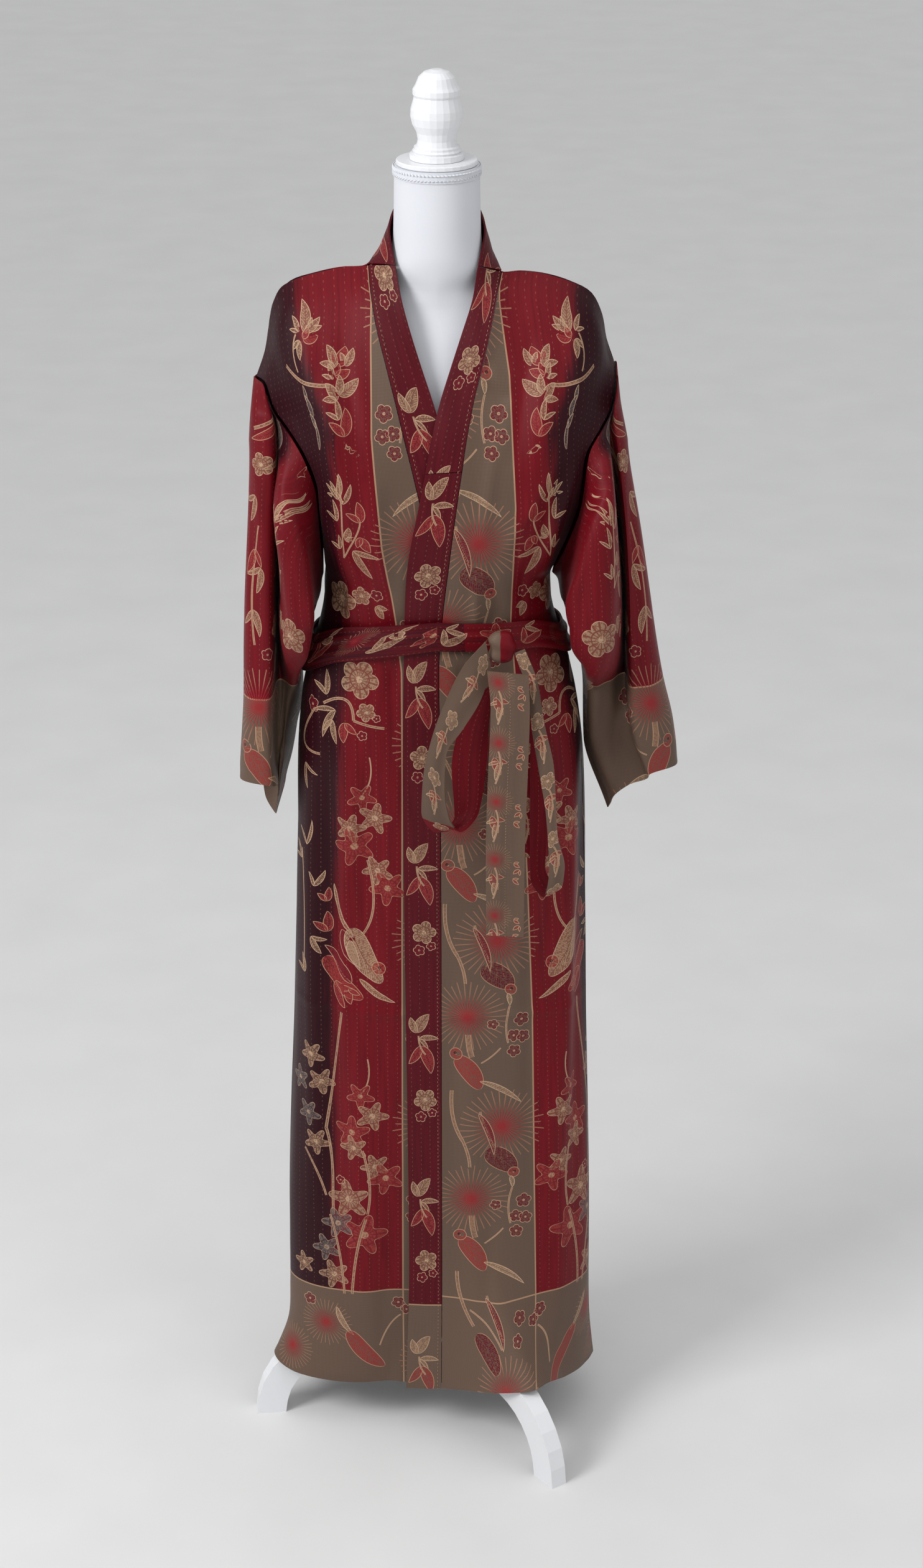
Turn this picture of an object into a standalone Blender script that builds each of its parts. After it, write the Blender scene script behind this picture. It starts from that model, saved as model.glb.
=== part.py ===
"""Silk kimono robe with its tie belt, worn on a white limbless dress form with a turned finial and a tripod stand.

Metres, +Z up, the wearer's front faces -Y. The cloth is thin walls through sections worked out from the tables below;
the origin lies on the floor, under the centre of the whole object's box.
"""
import math
from collections import namedtuple

import bpy
import numpy as np
from mathutils import Vector

# ---- driving sizes ---------------------------------------------------------------------------------------------
SILK = 0.0015            # one layer of cloth
FOLDED = 0.0022          # the folded neckband and belt
SEAM = 0.0004            # room left between two pieces at a seam
HEM_HEIGHT = 0.067
UNDERARM_HEIGHT = 1.133
RIDGE = 0.0020           # how far each panel's shoulder edge stays off the ridge
SIDE_ROUNDNESS = 2.4     # exponent of the body's oval section
LAP = 0.0048             # how far the under front lies behind the over front
LAP_AT_HEM = 0.0130
BELT_CLEARANCE = 0.0034  # from the robe's face to the belt's back
TORSO_X = -0.0035        # the form stands a little off its pole
DISC_TOP = 1.609
POLE_RADIUS = 0.0125
LEG_THICKNESS = 0.0218
LEG_TURNS = (-53.29, 66.71, 186.71)   # degrees, seen from above

# ---- the robe's body: half of its outline on each side, and its depth, at each height ----------------------------
Body = namedtuple("Body", "height left right front back")
BODY = (
    Body(0.067, -0.218, 0.194, 0.081, 0.088),
    Body(0.100, -0.203, 0.190, 0.080, 0.086),
    Body(0.155, -0.195, 0.186, 0.079, 0.085),
    Body(0.330, -0.192, 0.183, 0.078, 0.084),
    Body(0.550, -0.182, 0.176, 0.080, 0.088),
    Body(0.760, -0.173, 0.171, 0.086, 0.098),
    Body(0.900, -0.167, 0.164, 0.093, 0.107),
    Body(0.965, -0.164, 0.160, 0.095, 0.106),
    Body(1.015, -0.157, 0.151, 0.093, 0.097),
    Body(1.055, -0.146, 0.140, 0.092, 0.086),
    Body(1.090, -0.137, 0.129, 0.095, 0.084),
    Body(1.133, -0.132, 0.124, 0.104, 0.087),
)

# ---- the hem line, which lies over the stand's legs: direction seen from above, reach from the pole, height ------
Hem = namedtuple("Hem", "azimuth reach height")
HEM = (
    Hem(-172, 0.2190, 0.083), Hem(-166, 0.2010, 0.074), Hem(-153, 0.1470, 0.068), Hem(-143, 0.1134, 0.067),
    Hem(-122, 0.0935, 0.067), Hem(-101, 0.0830, 0.067), Hem(-90, 0.0850, 0.070), Hem(-74, 0.1150, 0.084),
    Hem(-62, 0.1620, 0.102), Hem(-55, 0.1880, 0.112), Hem(-48, 0.1860, 0.111), Hem(-30, 0.1770, 0.090),
    Hem(-11, 0.1840, 0.075), Hem(2, 0.1930, 0.069), Hem(25, 0.1850, 0.074), Hem(46, 0.1700, 0.094),
    Hem(60, 0.1860, 0.110), Hem(67, 0.1900, 0.114), Hem(74, 0.1840, 0.110), Hem(88, 0.1420, 0.090),
    Hem(108, 0.1050, 0.072), Hem(130, 0.1320, 0.068),
    Hem(165, 0.2000, 0.072), Hem(188, 0.2190, 0.083),
)
HEM_EASE = 0.300         # the height above which the legs no longer shape the robe

# ---- the neckband's two edges on each front: x at each height, and how far forward they lie ----------------------
Edge = namedtuple("Edge", "height depth under_seam under_free over_free over_seam")
EDGES = (
    Edge(0.067, None, -0.012, 0.030, -0.0470, -0.0020),
    Edge(0.260, None, 0.020, 0.064, -0.0415, -0.0010),
    Edge(0.485, None, 0.062, 0.106, -0.0425, -0.0010),
    Edge(0.700, None, 0.066, 0.110, -0.0440, -0.0008),
    Edge(0.905, None, 0.060, 0.104, -0.0444, -0.0010),
    Edge(1.040, None, 0.030, 0.075, -0.0425, -0.0024),
    Edge(1.133, None, 0.005, 0.051, -0.0400, 0.0040),
    Edge(1.180, 0.113, -0.006, 0.039, -0.0368, 0.0095),
    Edge(1.230, 0.119, -0.018, 0.026, -0.0275, 0.0155),
    Edge(1.280, 0.119, -0.029, 0.013, -0.0178, 0.0225),
    Edge(1.325, 0.112, -0.040, 0.003, -0.0095, 0.0291),
    Edge(1.350, 0.104, -0.046, -0.004, -0.0040, 0.0335),
    Edge(1.385, 0.092, -0.055, -0.016, 0.0071, 0.0425),
    Edge(1.421, 0.078, -0.065, -0.028, 0.0191, 0.0520),
    Edge(1.458, 0.060, -0.074, -0.040, 0.0329, 0.0600),
)
FREE_TOP = {"left": (-0.0495, -0.036, 1.499), "right": (0.0422, -0.036, 1.498)}
NECK_TOP = ((-0.0570, -0.006, 1.533), (-0.0515, 0.027, 1.548), (-0.030, 0.049, 1.553), (-0.004, 0.0560, 1.555),
            (0.023, 0.049, 1.553), (0.044, 0.027, 1.547), (0.0500, -0.006, 1.532))
NECK_POINT = {"left": (-0.0795, -0.014, 1.494), "right": (0.0676, -0.014, 1.486)}

# ---- shoulder lines and armhole seams: from the neck out to the drop point, then down to the underarm ------------
SHOULDER = {
    "left": ((-0.110, 0.0, 1.4885), (-0.150, 0.0, 1.4790), (-0.178, 0.0, 1.4650), (-0.189, 0.0, 1.438),
             (-0.195, 0.0, 1.400), (-0.2065, 0.0, 1.3650)),
    "right": ((0.100, 0.0, 1.4840), (0.140, 0.0, 1.4740), (0.167, 0.0, 1.4600), (0.180, 0.0, 1.435),
              (0.1865, 0.0, 1.402), (0.1940, 0.0, 1.3820)),
}
ARMHOLE_FRONT = {
    "left": ((-0.2065, 0.0, 1.3650), (-0.196, -0.028, 1.3660), (-0.1844, -0.052, 1.3420), (-0.1621, -0.080, 1.3190),
             (-0.1450, -0.089, 1.2890), (-0.1350, -0.080, 1.2500), (-0.1330, -0.058, 1.2000), (-0.1320, 0.0, 1.133)),
    "right": ((0.1940, 0.0, 1.3820), (0.1936, -0.025, 1.3740), (0.1890, -0.052, 1.3450), (0.1790, -0.074, 1.3300),
              (0.1610, -0.089, 1.3020), (0.1540, -0.077, 1.2400), (0.1390, -0.050, 1.1830), (0.1240, 0.0, 1.133)),
}
BACK_SEAM_DEPTHS = (0.0, 0.030, 0.052, 0.070, 0.076, 0.070, 0.046, 0.0)

# ---- sleeves: each section's fold line, flat strip, valley, pouch of slack cloth, inner edge and back ------------
Sleeve = namedtuple("Sleeve", "outer_x outer_z strip_x valley_y pouch_out pouch_in pouch_y inner_x inner_y inner_z back_y")
SLEEVES = {
    "left": (
        Sleeve(-0.2110, 1.335, -0.1872, -0.050, -0.1760, -0.1510, -0.103, -0.1375, 0.004, 1.112, 0.066),
        Sleeve(-0.2150, 1.275, -0.1890, -0.034, -0.1800, -0.1470, -0.110, -0.1435, 0.008, 1.090, 0.070),
        Sleeve(-0.2185, 1.190, -0.1910, -0.022, -0.1750, -0.1430, -0.109, -0.1530, 0.014, 1.064, 0.070),
        Sleeve(-0.2225, 1.110, -0.1935, -0.018, -0.1730, -0.1490, -0.097, -0.1610, 0.022, 1.034, 0.067),
        Sleeve(-0.2245, 1.058, -0.1950, -0.012, -0.1740, -0.1620, -0.055, -0.1640, 0.038, 1.005, 0.068),
        Sleeve(-0.2262, 0.995, -0.1966, -0.010, -0.1840, -0.1760, -0.004, -0.1660, 0.054, 0.967, 0.070),
        Sleeve(-0.2310, 0.932, -0.1975, -0.022, -0.1900, -0.1860, -0.010, -0.1780, 0.052, 0.890, 0.064),
        Sleeve(-0.2345, 0.893, -0.1985, -0.030, -0.1940, -0.1940, -0.008, -0.2000, 0.034, 0.812, 0.046),
    ),
    "right": (
        Sleeve(0.2005, 1.350, 0.1930, -0.050, 0.1880, 0.1640, -0.104, 0.1350, 0.004, 1.118, 0.068),
        Sleeve(0.2110, 1.295, 0.1985, -0.040, 0.1930, 0.1580, -0.112, 0.1380, 0.006, 1.100, 0.072),
        Sleeve(0.2260, 1.200, 0.2090, -0.026, 0.1935, 0.1460, -0.110, 0.1450, 0.010, 1.080, 0.074),
        Sleeve(0.2380, 1.115, 0.2150, -0.020, 0.1930, 0.1480, -0.104, 0.1560, 0.014, 1.050, 0.074),
        Sleeve(0.2450, 1.065, 0.2175, -0.016, 0.1935, 0.1680, -0.086, 0.1620, 0.018, 1.020, 0.072),
        Sleeve(0.2545, 1.010, 0.2205, -0.014, 0.1960, 0.1760, -0.030, 0.1660, 0.020, 0.985, 0.068),
        Sleeve(0.2670, 0.955, 0.2260, -0.030, 0.2000, 0.1760, -0.026, 0.1670, 0.010, 0.925, 0.058),
        Sleeve(0.2750, 0.905, 0.2440, -0.052, 0.2200, 0.2020, -0.050, 0.1960, -0.020, 0.845, 0.030),
    ),
}
BLADE_FULLNESS = 0.018   # roundness of the back over the shoulder blades
BACK_CENTRE = ((-0.005, 0.096, 1.200), (-0.005, 0.101, 1.270), (-0.005, 0.097, 1.350), (-0.005, 0.084, 1.420),
               (-0.005, 0.068, 1.470), (-0.005, 0.0575, 1.508))
SLEEVE_GAP = 0.0034
FRONT_SPOTS = (0.0, 0.10, 0.25, 0.42, 0.60, 0.80, 1.0)   # where the fold lines meet the armhole's front seam
BACK_SPOTS = (0.30, 0.60, 0.85)                          # and its back seam
STRIP_Y = {"left": -0.068, "right": -0.060}
OUTER_Y = {"left": -0.050, "right": -0.035}

# ---- belt: middle height and width all round, then its loops and tails as pairs of edges ---------------------------
Belt = namedtuple("Belt", "turn height width")
BELT = (
    Belt(0, 1.089, 0.036), Belt(45, 1.083, 0.034), Belt(90, 1.056, 0.036), Belt(135, 1.052, 0.040),
    Belt(180, 1.050, 0.042), Belt(225, 1.044, 0.042), Belt(270, 1.038, 0.046), Belt(315, 1.070, 0.043),
)
Strip = namedtuple("Strip", "left_x left_z right_x right_z y")
LOOP_LEFT = (
    Strip(0.0505, 1.0930, 0.0570, 1.0600, -0.1240),
    Strip(0.0256, 1.0678, 0.0450, 1.0270, -0.1360),
    Strip(0.0040, 1.0254, 0.0250, 0.9950, -0.1440),
    Strip(-0.0100, 0.9869, 0.0060, 0.9647, -0.1480),
    Strip(-0.0204, 0.9369, 0.0039, 0.9229, -0.1500),
    Strip(-0.0225, 0.8930, 0.0089, 0.8847, -0.1440),
    Strip(-0.0030, 0.8620, 0.0230, 0.8620, -0.1320),
    Strip(0.0153, 0.8760, 0.0420, 0.8800, -0.1190),
    Strip(0.0120, 0.9351, 0.0510, 0.9350, -0.1130),
    Strip(0.0180, 0.9743, 0.0545, 0.9900, -0.1120),
    Strip(0.0480, 1.0300, 0.0600, 1.0400, -0.1130),
)
LOOP_RIGHT = (
    Strip(0.0830, 1.0780, 0.0942, 1.0830, -0.1200),
    Strip(0.0985, 1.0300, 0.1075, 1.0500, -0.1290),
    Strip(0.1022, 0.9950, 0.1170, 0.9980, -0.1350),
    Strip(0.1110, 0.9420, 0.1283, 0.9437, -0.1400),
    Strip(0.1200, 0.8850, 0.1330, 0.8620, -0.1420),
    Strip(0.1240, 0.8150, 0.1420, 0.8200, -0.1380),
    Strip(0.1170, 0.7780, 0.1370, 0.7860, -0.1290),
    Strip(0.1030, 0.7960, 0.1200, 0.8120, -0.1170),
    Strip(0.1020, 0.8700, 0.1230, 0.8800, -0.1120),
    Strip(0.1020, 0.9600, 0.1180, 0.9650, -0.1110),
    Strip(0.0980, 1.0350, 0.1060, 1.0400, -0.1110),
)
TAIL_WIDE = (
    Strip(0.0520, 1.0660, 0.0985, 1.0610, -0.1450),
    Strip(0.0560, 1.0200, 0.1000, 1.0158, -0.1480),
    Strip(0.0535, 0.9465, 0.0980, 0.9325, -0.1500),
    Strip(0.0510, 0.8500, 0.0957, 0.8500, -0.1500),
    Strip(0.0520, 0.7390, 0.0953, 0.7360, -0.1480),
)
TAIL_NARROW = (
    Strip(0.0870, 1.0400, 0.1010, 1.0400, -0.1060),
    Strip(0.0860, 0.9600, 0.1025, 0.9600, -0.1040),
    Strip(0.0865, 0.8820, 0.1070, 0.8720, -0.1030),
    Strip(0.0900, 0.8198, 0.1086, 0.8140, -0.1020),
)

Knot = namedtuple("Knot", "x y z half_width half_depth half_height")
KNOT = Knot(0.0690, -0.1170, 1.0840, 0.0150, 0.0100, 0.0190)

# ---- dress form -----------------------------------------------------------------------------------------------------
Torso = namedtuple("Torso", "height half_width front back roundness")
TORSO = (
    Torso(0.806, 0.149, 0.070, 0.084, 2.2), Torso(0.880, 0.152, 0.077, 0.092, 2.2),
    Torso(0.950, 0.146, 0.079, 0.091, 2.2), Torso(1.010, 0.128, 0.077, 0.080, 2.2),
    Torso(1.070, 0.114, 0.076, 0.070, 2.2), Torso(1.130, 0.112, 0.084, 0.072, 2.2),
    Torso(1.200, 0.117, 0.097, 0.077, 2.2), Torso(1.270, 0.126, 0.102, 0.078, 2.1),
    Torso(1.330, 0.138, 0.092, 0.074, 2.0), Torso(1.380, 0.150, 0.074, 0.062, 1.9),
    Torso(1.420, 0.152, 0.056, 0.046, 1.7), Torso(1.440, 0.136, 0.046, 0.036, 1.6),
    Torso(1.455, 0.098, 0.042, 0.032, 1.6), Torso(1.467, 0.070, 0.042, 0.034, 1.6),
    Torso(1.478, 0.058, 0.044, 0.038, 1.7), Torso(1.492, 0.0570, 0.0465, 0.0430, 1.9),
    Torso(1.510, 0.0505, 0.0485, 0.0465, 2.0), Torso(1.535, 0.0482, 0.0485, 0.0475, 2.0),
    Torso(1.600, 0.0470, 0.0470, 0.0470, 2.0),
)
TRIM_RADIUS = 0.0485
TRIM_HEIGHT = 0.012
DISC_RADIUS = 0.045
DISC_THICKNESS = 0.0055
HUB_RADIUS = 0.032
HUB_BOTTOM, HUB_TOP = 0.074, 0.132
# radius and height above the disc of the turned wooden top
FINIAL = (
    (0.0300, 0.0000), (0.0300, 0.0060), (0.0260, 0.0072), (0.0272, 0.0092), (0.0250, 0.0112), (0.0252, 0.0135),
    (0.0222, 0.0152), (0.0210, 0.0210), (0.0225, 0.0290), (0.0270, 0.0375), (0.0290, 0.0460), (0.0287, 0.0540),
    (0.0258, 0.0645), (0.0250, 0.0675), (0.0264, 0.0700), (0.0264, 0.0755), (0.0240, 0.0790), (0.0230, 0.0810),
    (0.0200, 0.0885), (0.0140, 0.0940), (0.0060, 0.0966),
)
# centre line and half depth of one tripod leg, out from the pole
Leg = namedtuple("Leg", "reach height half_depth")
LEG = (
    Leg(0.033, 0.1002, 0.0180), Leg(0.080, 0.1002, 0.0180), Leg(0.1226, 0.1002, 0.0182), Leg(0.1569, 0.0942, 0.0185),
    Leg(0.1870, 0.0768, 0.0185), Leg(0.2094, 0.0501, 0.0185), Leg(0.2194, 0.0259, 0.0185), Leg(0.2228, 0.0000, 0.0185),
)


# ---- curves ---------------------------------------------------------------------------------------------------------
def steps(keys, values, at):
    """A smooth curve through values at keys that never overshoots them (monotone cubic)."""
    keys, values, at = (np.asarray(v, float) for v in (keys, values, at))
    width = np.diff(keys)
    slope = np.diff(values, axis=0) / (width[:, None] if values.ndim == 2 else width)
    before, after = slope[:-1], slope[1:]
    same = before * after > 0
    middle = np.where(same, 2 * before * after / np.where(same, before + after, 1.0), 0.0)
    bend = np.concatenate((slope[:1], middle, slope[-1:]))
    i = np.clip(np.searchsorted(keys, at, side="right") - 1, 0, len(keys) - 2)
    t = (at - keys[i]) / width[i]
    w = width[i]
    if values.ndim == 2:
        t, w = t[:, None], w[:, None]
    return ((2 * t**3 - 3 * t**2 + 1) * values[i] + (t**3 - 2 * t**2 + t) * w * bend[i]
            + (3 * t**2 - 2 * t**3) * values[i + 1] + (t**3 - t**2) * w * bend[i + 1])


def column(table, name, at):
    """The named column of a table, smoothed over its first column."""
    return steps([row[0] for row in table], [getattr(row, name) for row in table], at)


def lengths(points):
    """Distance along a run of points at each of them."""
    points = np.asarray(points, float)
    return np.concatenate(([0.0], np.cumsum(np.linalg.norm(np.diff(points, axis=0), axis=1))))


def spaced(points, fractions):
    """Points at the given fractions of a run of points' length."""
    run = lengths(points)
    return np.stack([np.interp(np.asarray(fractions) * run[-1], run, points[:, k]) for k in range(points.shape[1])], 1)


def smooth_run(points, count):
    """A smooth run through a few points, as count evenly spaced ones."""
    points = np.asarray(points, float)
    run = lengths(points)
    fine = steps(run, points, np.linspace(0, run[-1], 12 * len(points)))
    return spaced(fine, np.linspace(0, 1, count))


def closed_run(points, per_side):
    """A closed smooth loop through points (Catmull-Rom), per_side samples for each."""
    points = np.asarray(points, float)
    before, after, second = (np.roll(points, k, axis=0) for k in (1, -1, -2))
    loop = []
    for j in range(per_side):
        t = j / per_side
        loop.append(0.5 * (2 * points + (after - before) * t + (2 * before - 5 * points + 4 * after - second) * t * t
                           + (3 * points - before - 3 * after + second) * t**3))
    return np.stack(loop, 1).reshape(-1, 3)


def ease(value, start, end):
    """0 before start, 1 after end, smooth between."""
    t = np.clip((np.asarray(value, float) - start) / (end - start), 0, 1)
    return t * t * (3 - 2 * t)


# ---- the robe's surfaces ----------------------------------------------------------------------------------------
def body_point(turn, height, front=True):
    """Points of the robe's outline: turn runs from the left seam (-90 degrees) to the right one, round one half."""
    turn, height = np.broadcast_arrays(np.asarray(turn, float), np.asarray(height, float))
    left, right, ahead, behind = (column(BODY, k, height.ravel()).reshape(height.shape)
                                  for k in ("left", "right", "front", "back"))
    power = 2 / SIDE_ROUNDNESS
    across = np.sign(np.sin(turn)) * np.abs(np.sin(turn))**power
    deep = np.abs(np.cos(turn))**power
    x = (left + right) / 2 + (right - left) / 2 * across
    return np.stack((x, -ahead * deep if front else behind * deep, height), -1)


def half_ring(height, front=True, count=181):
    """The robe's outline at a height, from the left seam to the right one, round the front or the back."""
    return body_point(np.linspace(-math.pi / 2, math.pi / 2, count), height, front)


def part_of(ring, start_x=None, end_x=None, count=10, gap=SEAM):
    """The stretch of a half ring between two x values, or its ends less the seam gap, evenly spaced."""
    run = lengths(ring)
    start = gap if start_x is None else np.interp(start_x, ring[:, 0], run)
    end = run[-1] - gap if end_x is None else np.interp(end_x, ring[:, 0], run)
    at = np.linspace(start, end, count)
    return np.stack([np.interp(at, run, ring[:, k]) for k in range(3)], 1)


def edge_x(name, height):
    return float(column(EDGES, name, [height])[0])


def fold_back(grid):
    """Moves the under front's inner part back, behind the over front."""
    height = np.clip(grid[..., 2], HEM_HEIGHT, EDGES[-1].height)
    free = column(EDGES, "over_free", height.ravel()).reshape(height.shape)
    depth = LAP + (LAP_AT_HEM - LAP) * (1 - ease(height, HEM_HEIGHT, 0.75)) * (1 - ease(grid[..., 0], 0.0, 0.05))
    moved = grid.copy()
    moved[..., 1] += depth * ease(grid[..., 0], free - 0.055, free - 0.012)
    return moved


def settle(grid):
    """Draws the robe's lower end out and up to its hem line over the legs."""
    ring = np.concatenate((half_ring(HEM_HEIGHT)[:-1], half_ring(HEM_HEIGHT, front=False)[::-1][:-1]))
    around = np.degrees(np.arctan2(ring[:, 1], ring[:, 0]))
    order = np.argsort(around)
    azimuth = np.degrees(np.arctan2(grid[..., 1], grid[..., 0]))
    plain = np.interp(azimuth, around[order], np.hypot(ring[:, 0], ring[:, 1])[order], period=360)
    wanted = np.where(azimuth < HEM[0].azimuth, azimuth + 360, azimuth).ravel()
    reach = column(HEM, "reach", wanted).reshape(azimuth.shape) - plain
    lift = column(HEM, "height", wanted).reshape(azimuth.shape) - HEM_HEIGHT
    share = np.clip((HEM_EASE - grid[..., 2]) / (HEM_EASE - HEM_HEIGHT), 0, 1)**1.7
    out = np.radians(azimuth)
    return grid + np.stack((share * reach * np.cos(out), share * reach * np.sin(out), share * lift), -1)


def edge_run(name, count, top=None):
    """An upper neckband edge, from the underarm's height up to the neck, or to top."""
    heights = [row.height for row in EDGES if row.height >= UNDERARM_HEIGHT]
    base = part_of(half_ring(UNDERARM_HEIGHT), start_x=edge_x(name, UNDERARM_HEIGHT), count=2)[0]
    rows = [tuple(base)]
    rows += [(getattr(row, name), -row.depth, row.height) for row in EDGES if row.height > heights[0]]
    if top is not None:
        rows.append(top)
    return smooth_run(rows, count)


def patch(bottom, top, start, end):
    """A surface between four edges (Coons): bottom and top run from start's side to end's side."""
    rows, cols = len(start), len(bottom)
    v = np.linspace(0, 1, rows)[:, None, None]
    u = np.linspace(0, 1, cols)[None, :, None]
    lofted = (1 - v) * bottom[None] + v * top[None]
    crossed = (1 - u) * start[:, None] + u * end[:, None]
    corners = ((1 - u) * (1 - v) * bottom[0] + u * (1 - v) * bottom[-1] + (1 - u) * v * top[0] + u * v * top[-1])
    return lofted + crossed - corners


LOWER = np.concatenate((np.linspace(HEM_HEIGHT, HEM_EASE, 5)[:-1], np.linspace(HEM_EASE, 0.95, 6)[:-1],
                        np.linspace(0.95, UNDERARM_HEIGHT, 6)))


def shoulder_run(side, count, shift):
    """From the drop point up and in to the neck point, shifted off the shoulder ridge."""
    run = smooth_run(list(reversed(SHOULDER[side])) + [NECK_POINT[side]], count)
    run[:, 1] += shift * (1 - 0.2 * ease(np.linspace(0, 1, count), 0.85, 1.0))
    return run


def front_panel(side, rows=11, cols=13):
    """One front: the wearer's left lies over, the wearer's right under. Grid from hem to shoulder, seam to neckband."""
    over = side == "right"
    name = "over_seam" if over else "under_seam"
    gap = SEAM if over else -SEAM
    grid = []
    for height in LOWER:
        inner = edge_x(name, height) + gap
        if over:
            grid.append(part_of(half_ring(height), start_x=inner, count=cols)[::-1])
        else:
            grid.append(part_of(half_ring(height), end_x=inner, count=cols))
    outer = smooth_run(list(reversed(ARMHOLE_FRONT[side])), rows)
    outer[:, 1] -= RIDGE * ease(np.linspace(0, 1, rows), 0.8, 1.0)
    outer[0] = grid[-1][0]
    inner = edge_run(name, rows, NECK_POINT[side])
    inner[:, 0] += gap
    inner[-1, 1] -= 0.8 * RIDGE
    inner[0] = grid[-1][-1]
    top = shoulder_run(side, cols, -RIDGE)
    top[0], top[-1] = outer[-1], inner[-1]
    grid = np.concatenate((np.array(grid), patch(grid[-1], top, outer, inner)[1:]))
    return settle(grid) if over else fold_back(settle(grid))


def back_neck(side, count):
    """The back's neck seam, from one side's neck point round to the middle."""
    points = {"left": ((-0.070, 0.020, 1.500), (-0.042, 0.046, 1.506)),
              "right": ((0.059, 0.020, 1.496), (0.031, 0.046, 1.504))}[side]
    run = smooth_run((NECK_POINT[side],) + points + (BACK_CENTRE[-1],), count)
    run[:, 1] += 0.8 * RIDGE * (1 - ease(np.linspace(0, 1, count), 0.0, 0.4))
    return run


def armhole_back(side, count):
    """The back's armhole seam, from the underarm up to the drop point."""
    points = [(x, depth, z) for (x, _, z), depth in zip(ARMHOLE_FRONT[side], BACK_SEAM_DEPTHS)]
    return smooth_run(list(reversed(points)), count)


def back_panel(rows=11, cols=23):
    """The back in one piece, hem to shoulders, left to right."""
    grid = [part_of(half_ring(height, front=False), count=cols) for height in LOWER]
    middle = cols // 2
    base = grid[-1]
    centre_line = smooth_run(((base[middle][0], base[middle][1], UNDERARM_HEIGHT),) + BACK_CENTRE, rows)
    halves = []
    for side, bottom in (("left", base[:middle + 1]), ("right", base[middle:][::-1])):
        seam = armhole_back(side, rows)
        seam[:, 1] += RIDGE * ease(np.linspace(0, 1, rows), 0.8, 1.0)
        seam[0] = bottom[0]
        top = np.concatenate((shoulder_run(side, 40, RIDGE), back_neck(side, 40)[1:]))
        top = spaced(top, np.linspace(0, 1, middle + 1))
        top[0] = seam[-1]
        half = patch(bottom, top, seam, centre_line)
        rise, across = np.linspace(0, 1, rows)[:, None], np.linspace(0, 1, middle + 1)[None, :]
        push = BLADE_FULLNESS * np.sin(math.pi * rise**3) * np.sin(math.pi * across)**0.6
        half[..., 1] += 0.75 * push
        half[..., 2] += 0.65 * push
        halves.append(half[1:])
    upper = np.concatenate((halves[0], halves[1][:, -2::-1]), axis=1)
    whole = np.concatenate((np.array(grid), upper))
    for _ in range(14):
        inner = whole[len(LOWER) - 1:]
        inner[1:-1, 1:-1] = (inner[:-2, 1:-1] + inner[2:, 1:-1] + inner[1:-1, :-2] + inner[1:-1, 2:]) / 4
    return settle(whole)


def armhole_loop(side, per_side):
    """The sleeve's first section: on the armhole seam, just outside the body's edge, down the front and up the back."""
    front, back = smooth_run(ARMHOLE_FRONT[side], 90), armhole_back(side, 90)
    spots = np.array(FRONT_SPOTS + tuple(1 + s for s in BACK_SPOTS) + (2.0,))
    at = np.interp(np.arange(10 * per_side) / per_side, np.arange(11), spots)
    loop = np.concatenate((spaced(front, at[at < 1.0]), spaced(back, at[at >= 1.0] - 1)))
    away = -1 if side == "left" else 1
    loop[:, 0] += away * SLEEVE_GAP
    loop[:, 2] -= SLEEVE_GAP / 2
    return loop


def sleeve(side, per_side=2, between=2):
    """The empty sleeve, hanging from its armhole: closed sections from the armhole to the cuff."""
    away = -1 if side == "left" else 1
    stations = [armhole_loop(side, per_side)]
    for row in SLEEVES[side]:
        drop = row.outer_z - row.inner_z

        def point(x, y, down):
            return (x, y, row.outer_z - down * drop)
        stations.append(closed_run((
            point(row.outer_x, OUTER_Y[side], 0.0),
            point(row.strip_x, STRIP_Y[side], 0.02),
            point(row.strip_x - away * 0.006, row.valley_y, 0.20),
            point(row.pouch_out, row.pouch_y, 0.32),
            point(row.pouch_in, row.pouch_y, 0.55),
            point(0.3 * row.pouch_in + 0.7 * row.inner_x, 0.45 * row.pouch_y + 0.55 * row.inner_y, 0.85),
            point(row.inner_x, row.inner_y, 1.0),
            point(row.inner_x + away * 0.012, 0.15 * row.inner_y + 0.85 * row.back_y, 0.80),
            point((row.inner_x + row.outer_x) / 2, row.back_y, 0.42),
            point(row.outer_x - away * 0.006, row.back_y * 0.45, 0.08),
        ), per_side))
    stations = np.array(stations)
    count, spots = stations.shape[:2]
    keys = np.arange(count, dtype=float)
    fine = steps(keys, stations.reshape(count, -1), np.linspace(0, count - 1, (count - 1) * between + 1))
    return [row.reshape(spots, 3) for row in fine]


def band_grid(seam, free, cols=3):
    """Cloth between two runs of points."""
    u = np.linspace(0, 1, cols)[None, :, None]
    return (1 - u) * seam[:, None] + u * free[:, None]


def band(seam_name, free_name, seam_top, free_top, rows=11):
    """The neckband along one front, from the hem to the side of the neck, from its left edge to its right one."""
    away = SEAM if seam_name == "over_seam" else -SEAM
    grid = []
    for height in LOWER:
        seam, free = edge_x(seam_name, height) - away, edge_x(free_name, height)
        grid.append(part_of(half_ring(height), start_x=min(seam, free), end_x=max(seam, free), count=3))
    seam, free = edge_run(seam_name, rows, seam_top), edge_run(free_name, rows, free_top)
    seam[:, 0] -= away
    upper = band_grid(free, seam) if seam_name == "over_seam" else band_grid(seam, free)
    grid = settle(np.concatenate((np.array(grid), upper[1:])))
    return grid if seam_name == "over_seam" else fold_back(grid)


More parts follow.
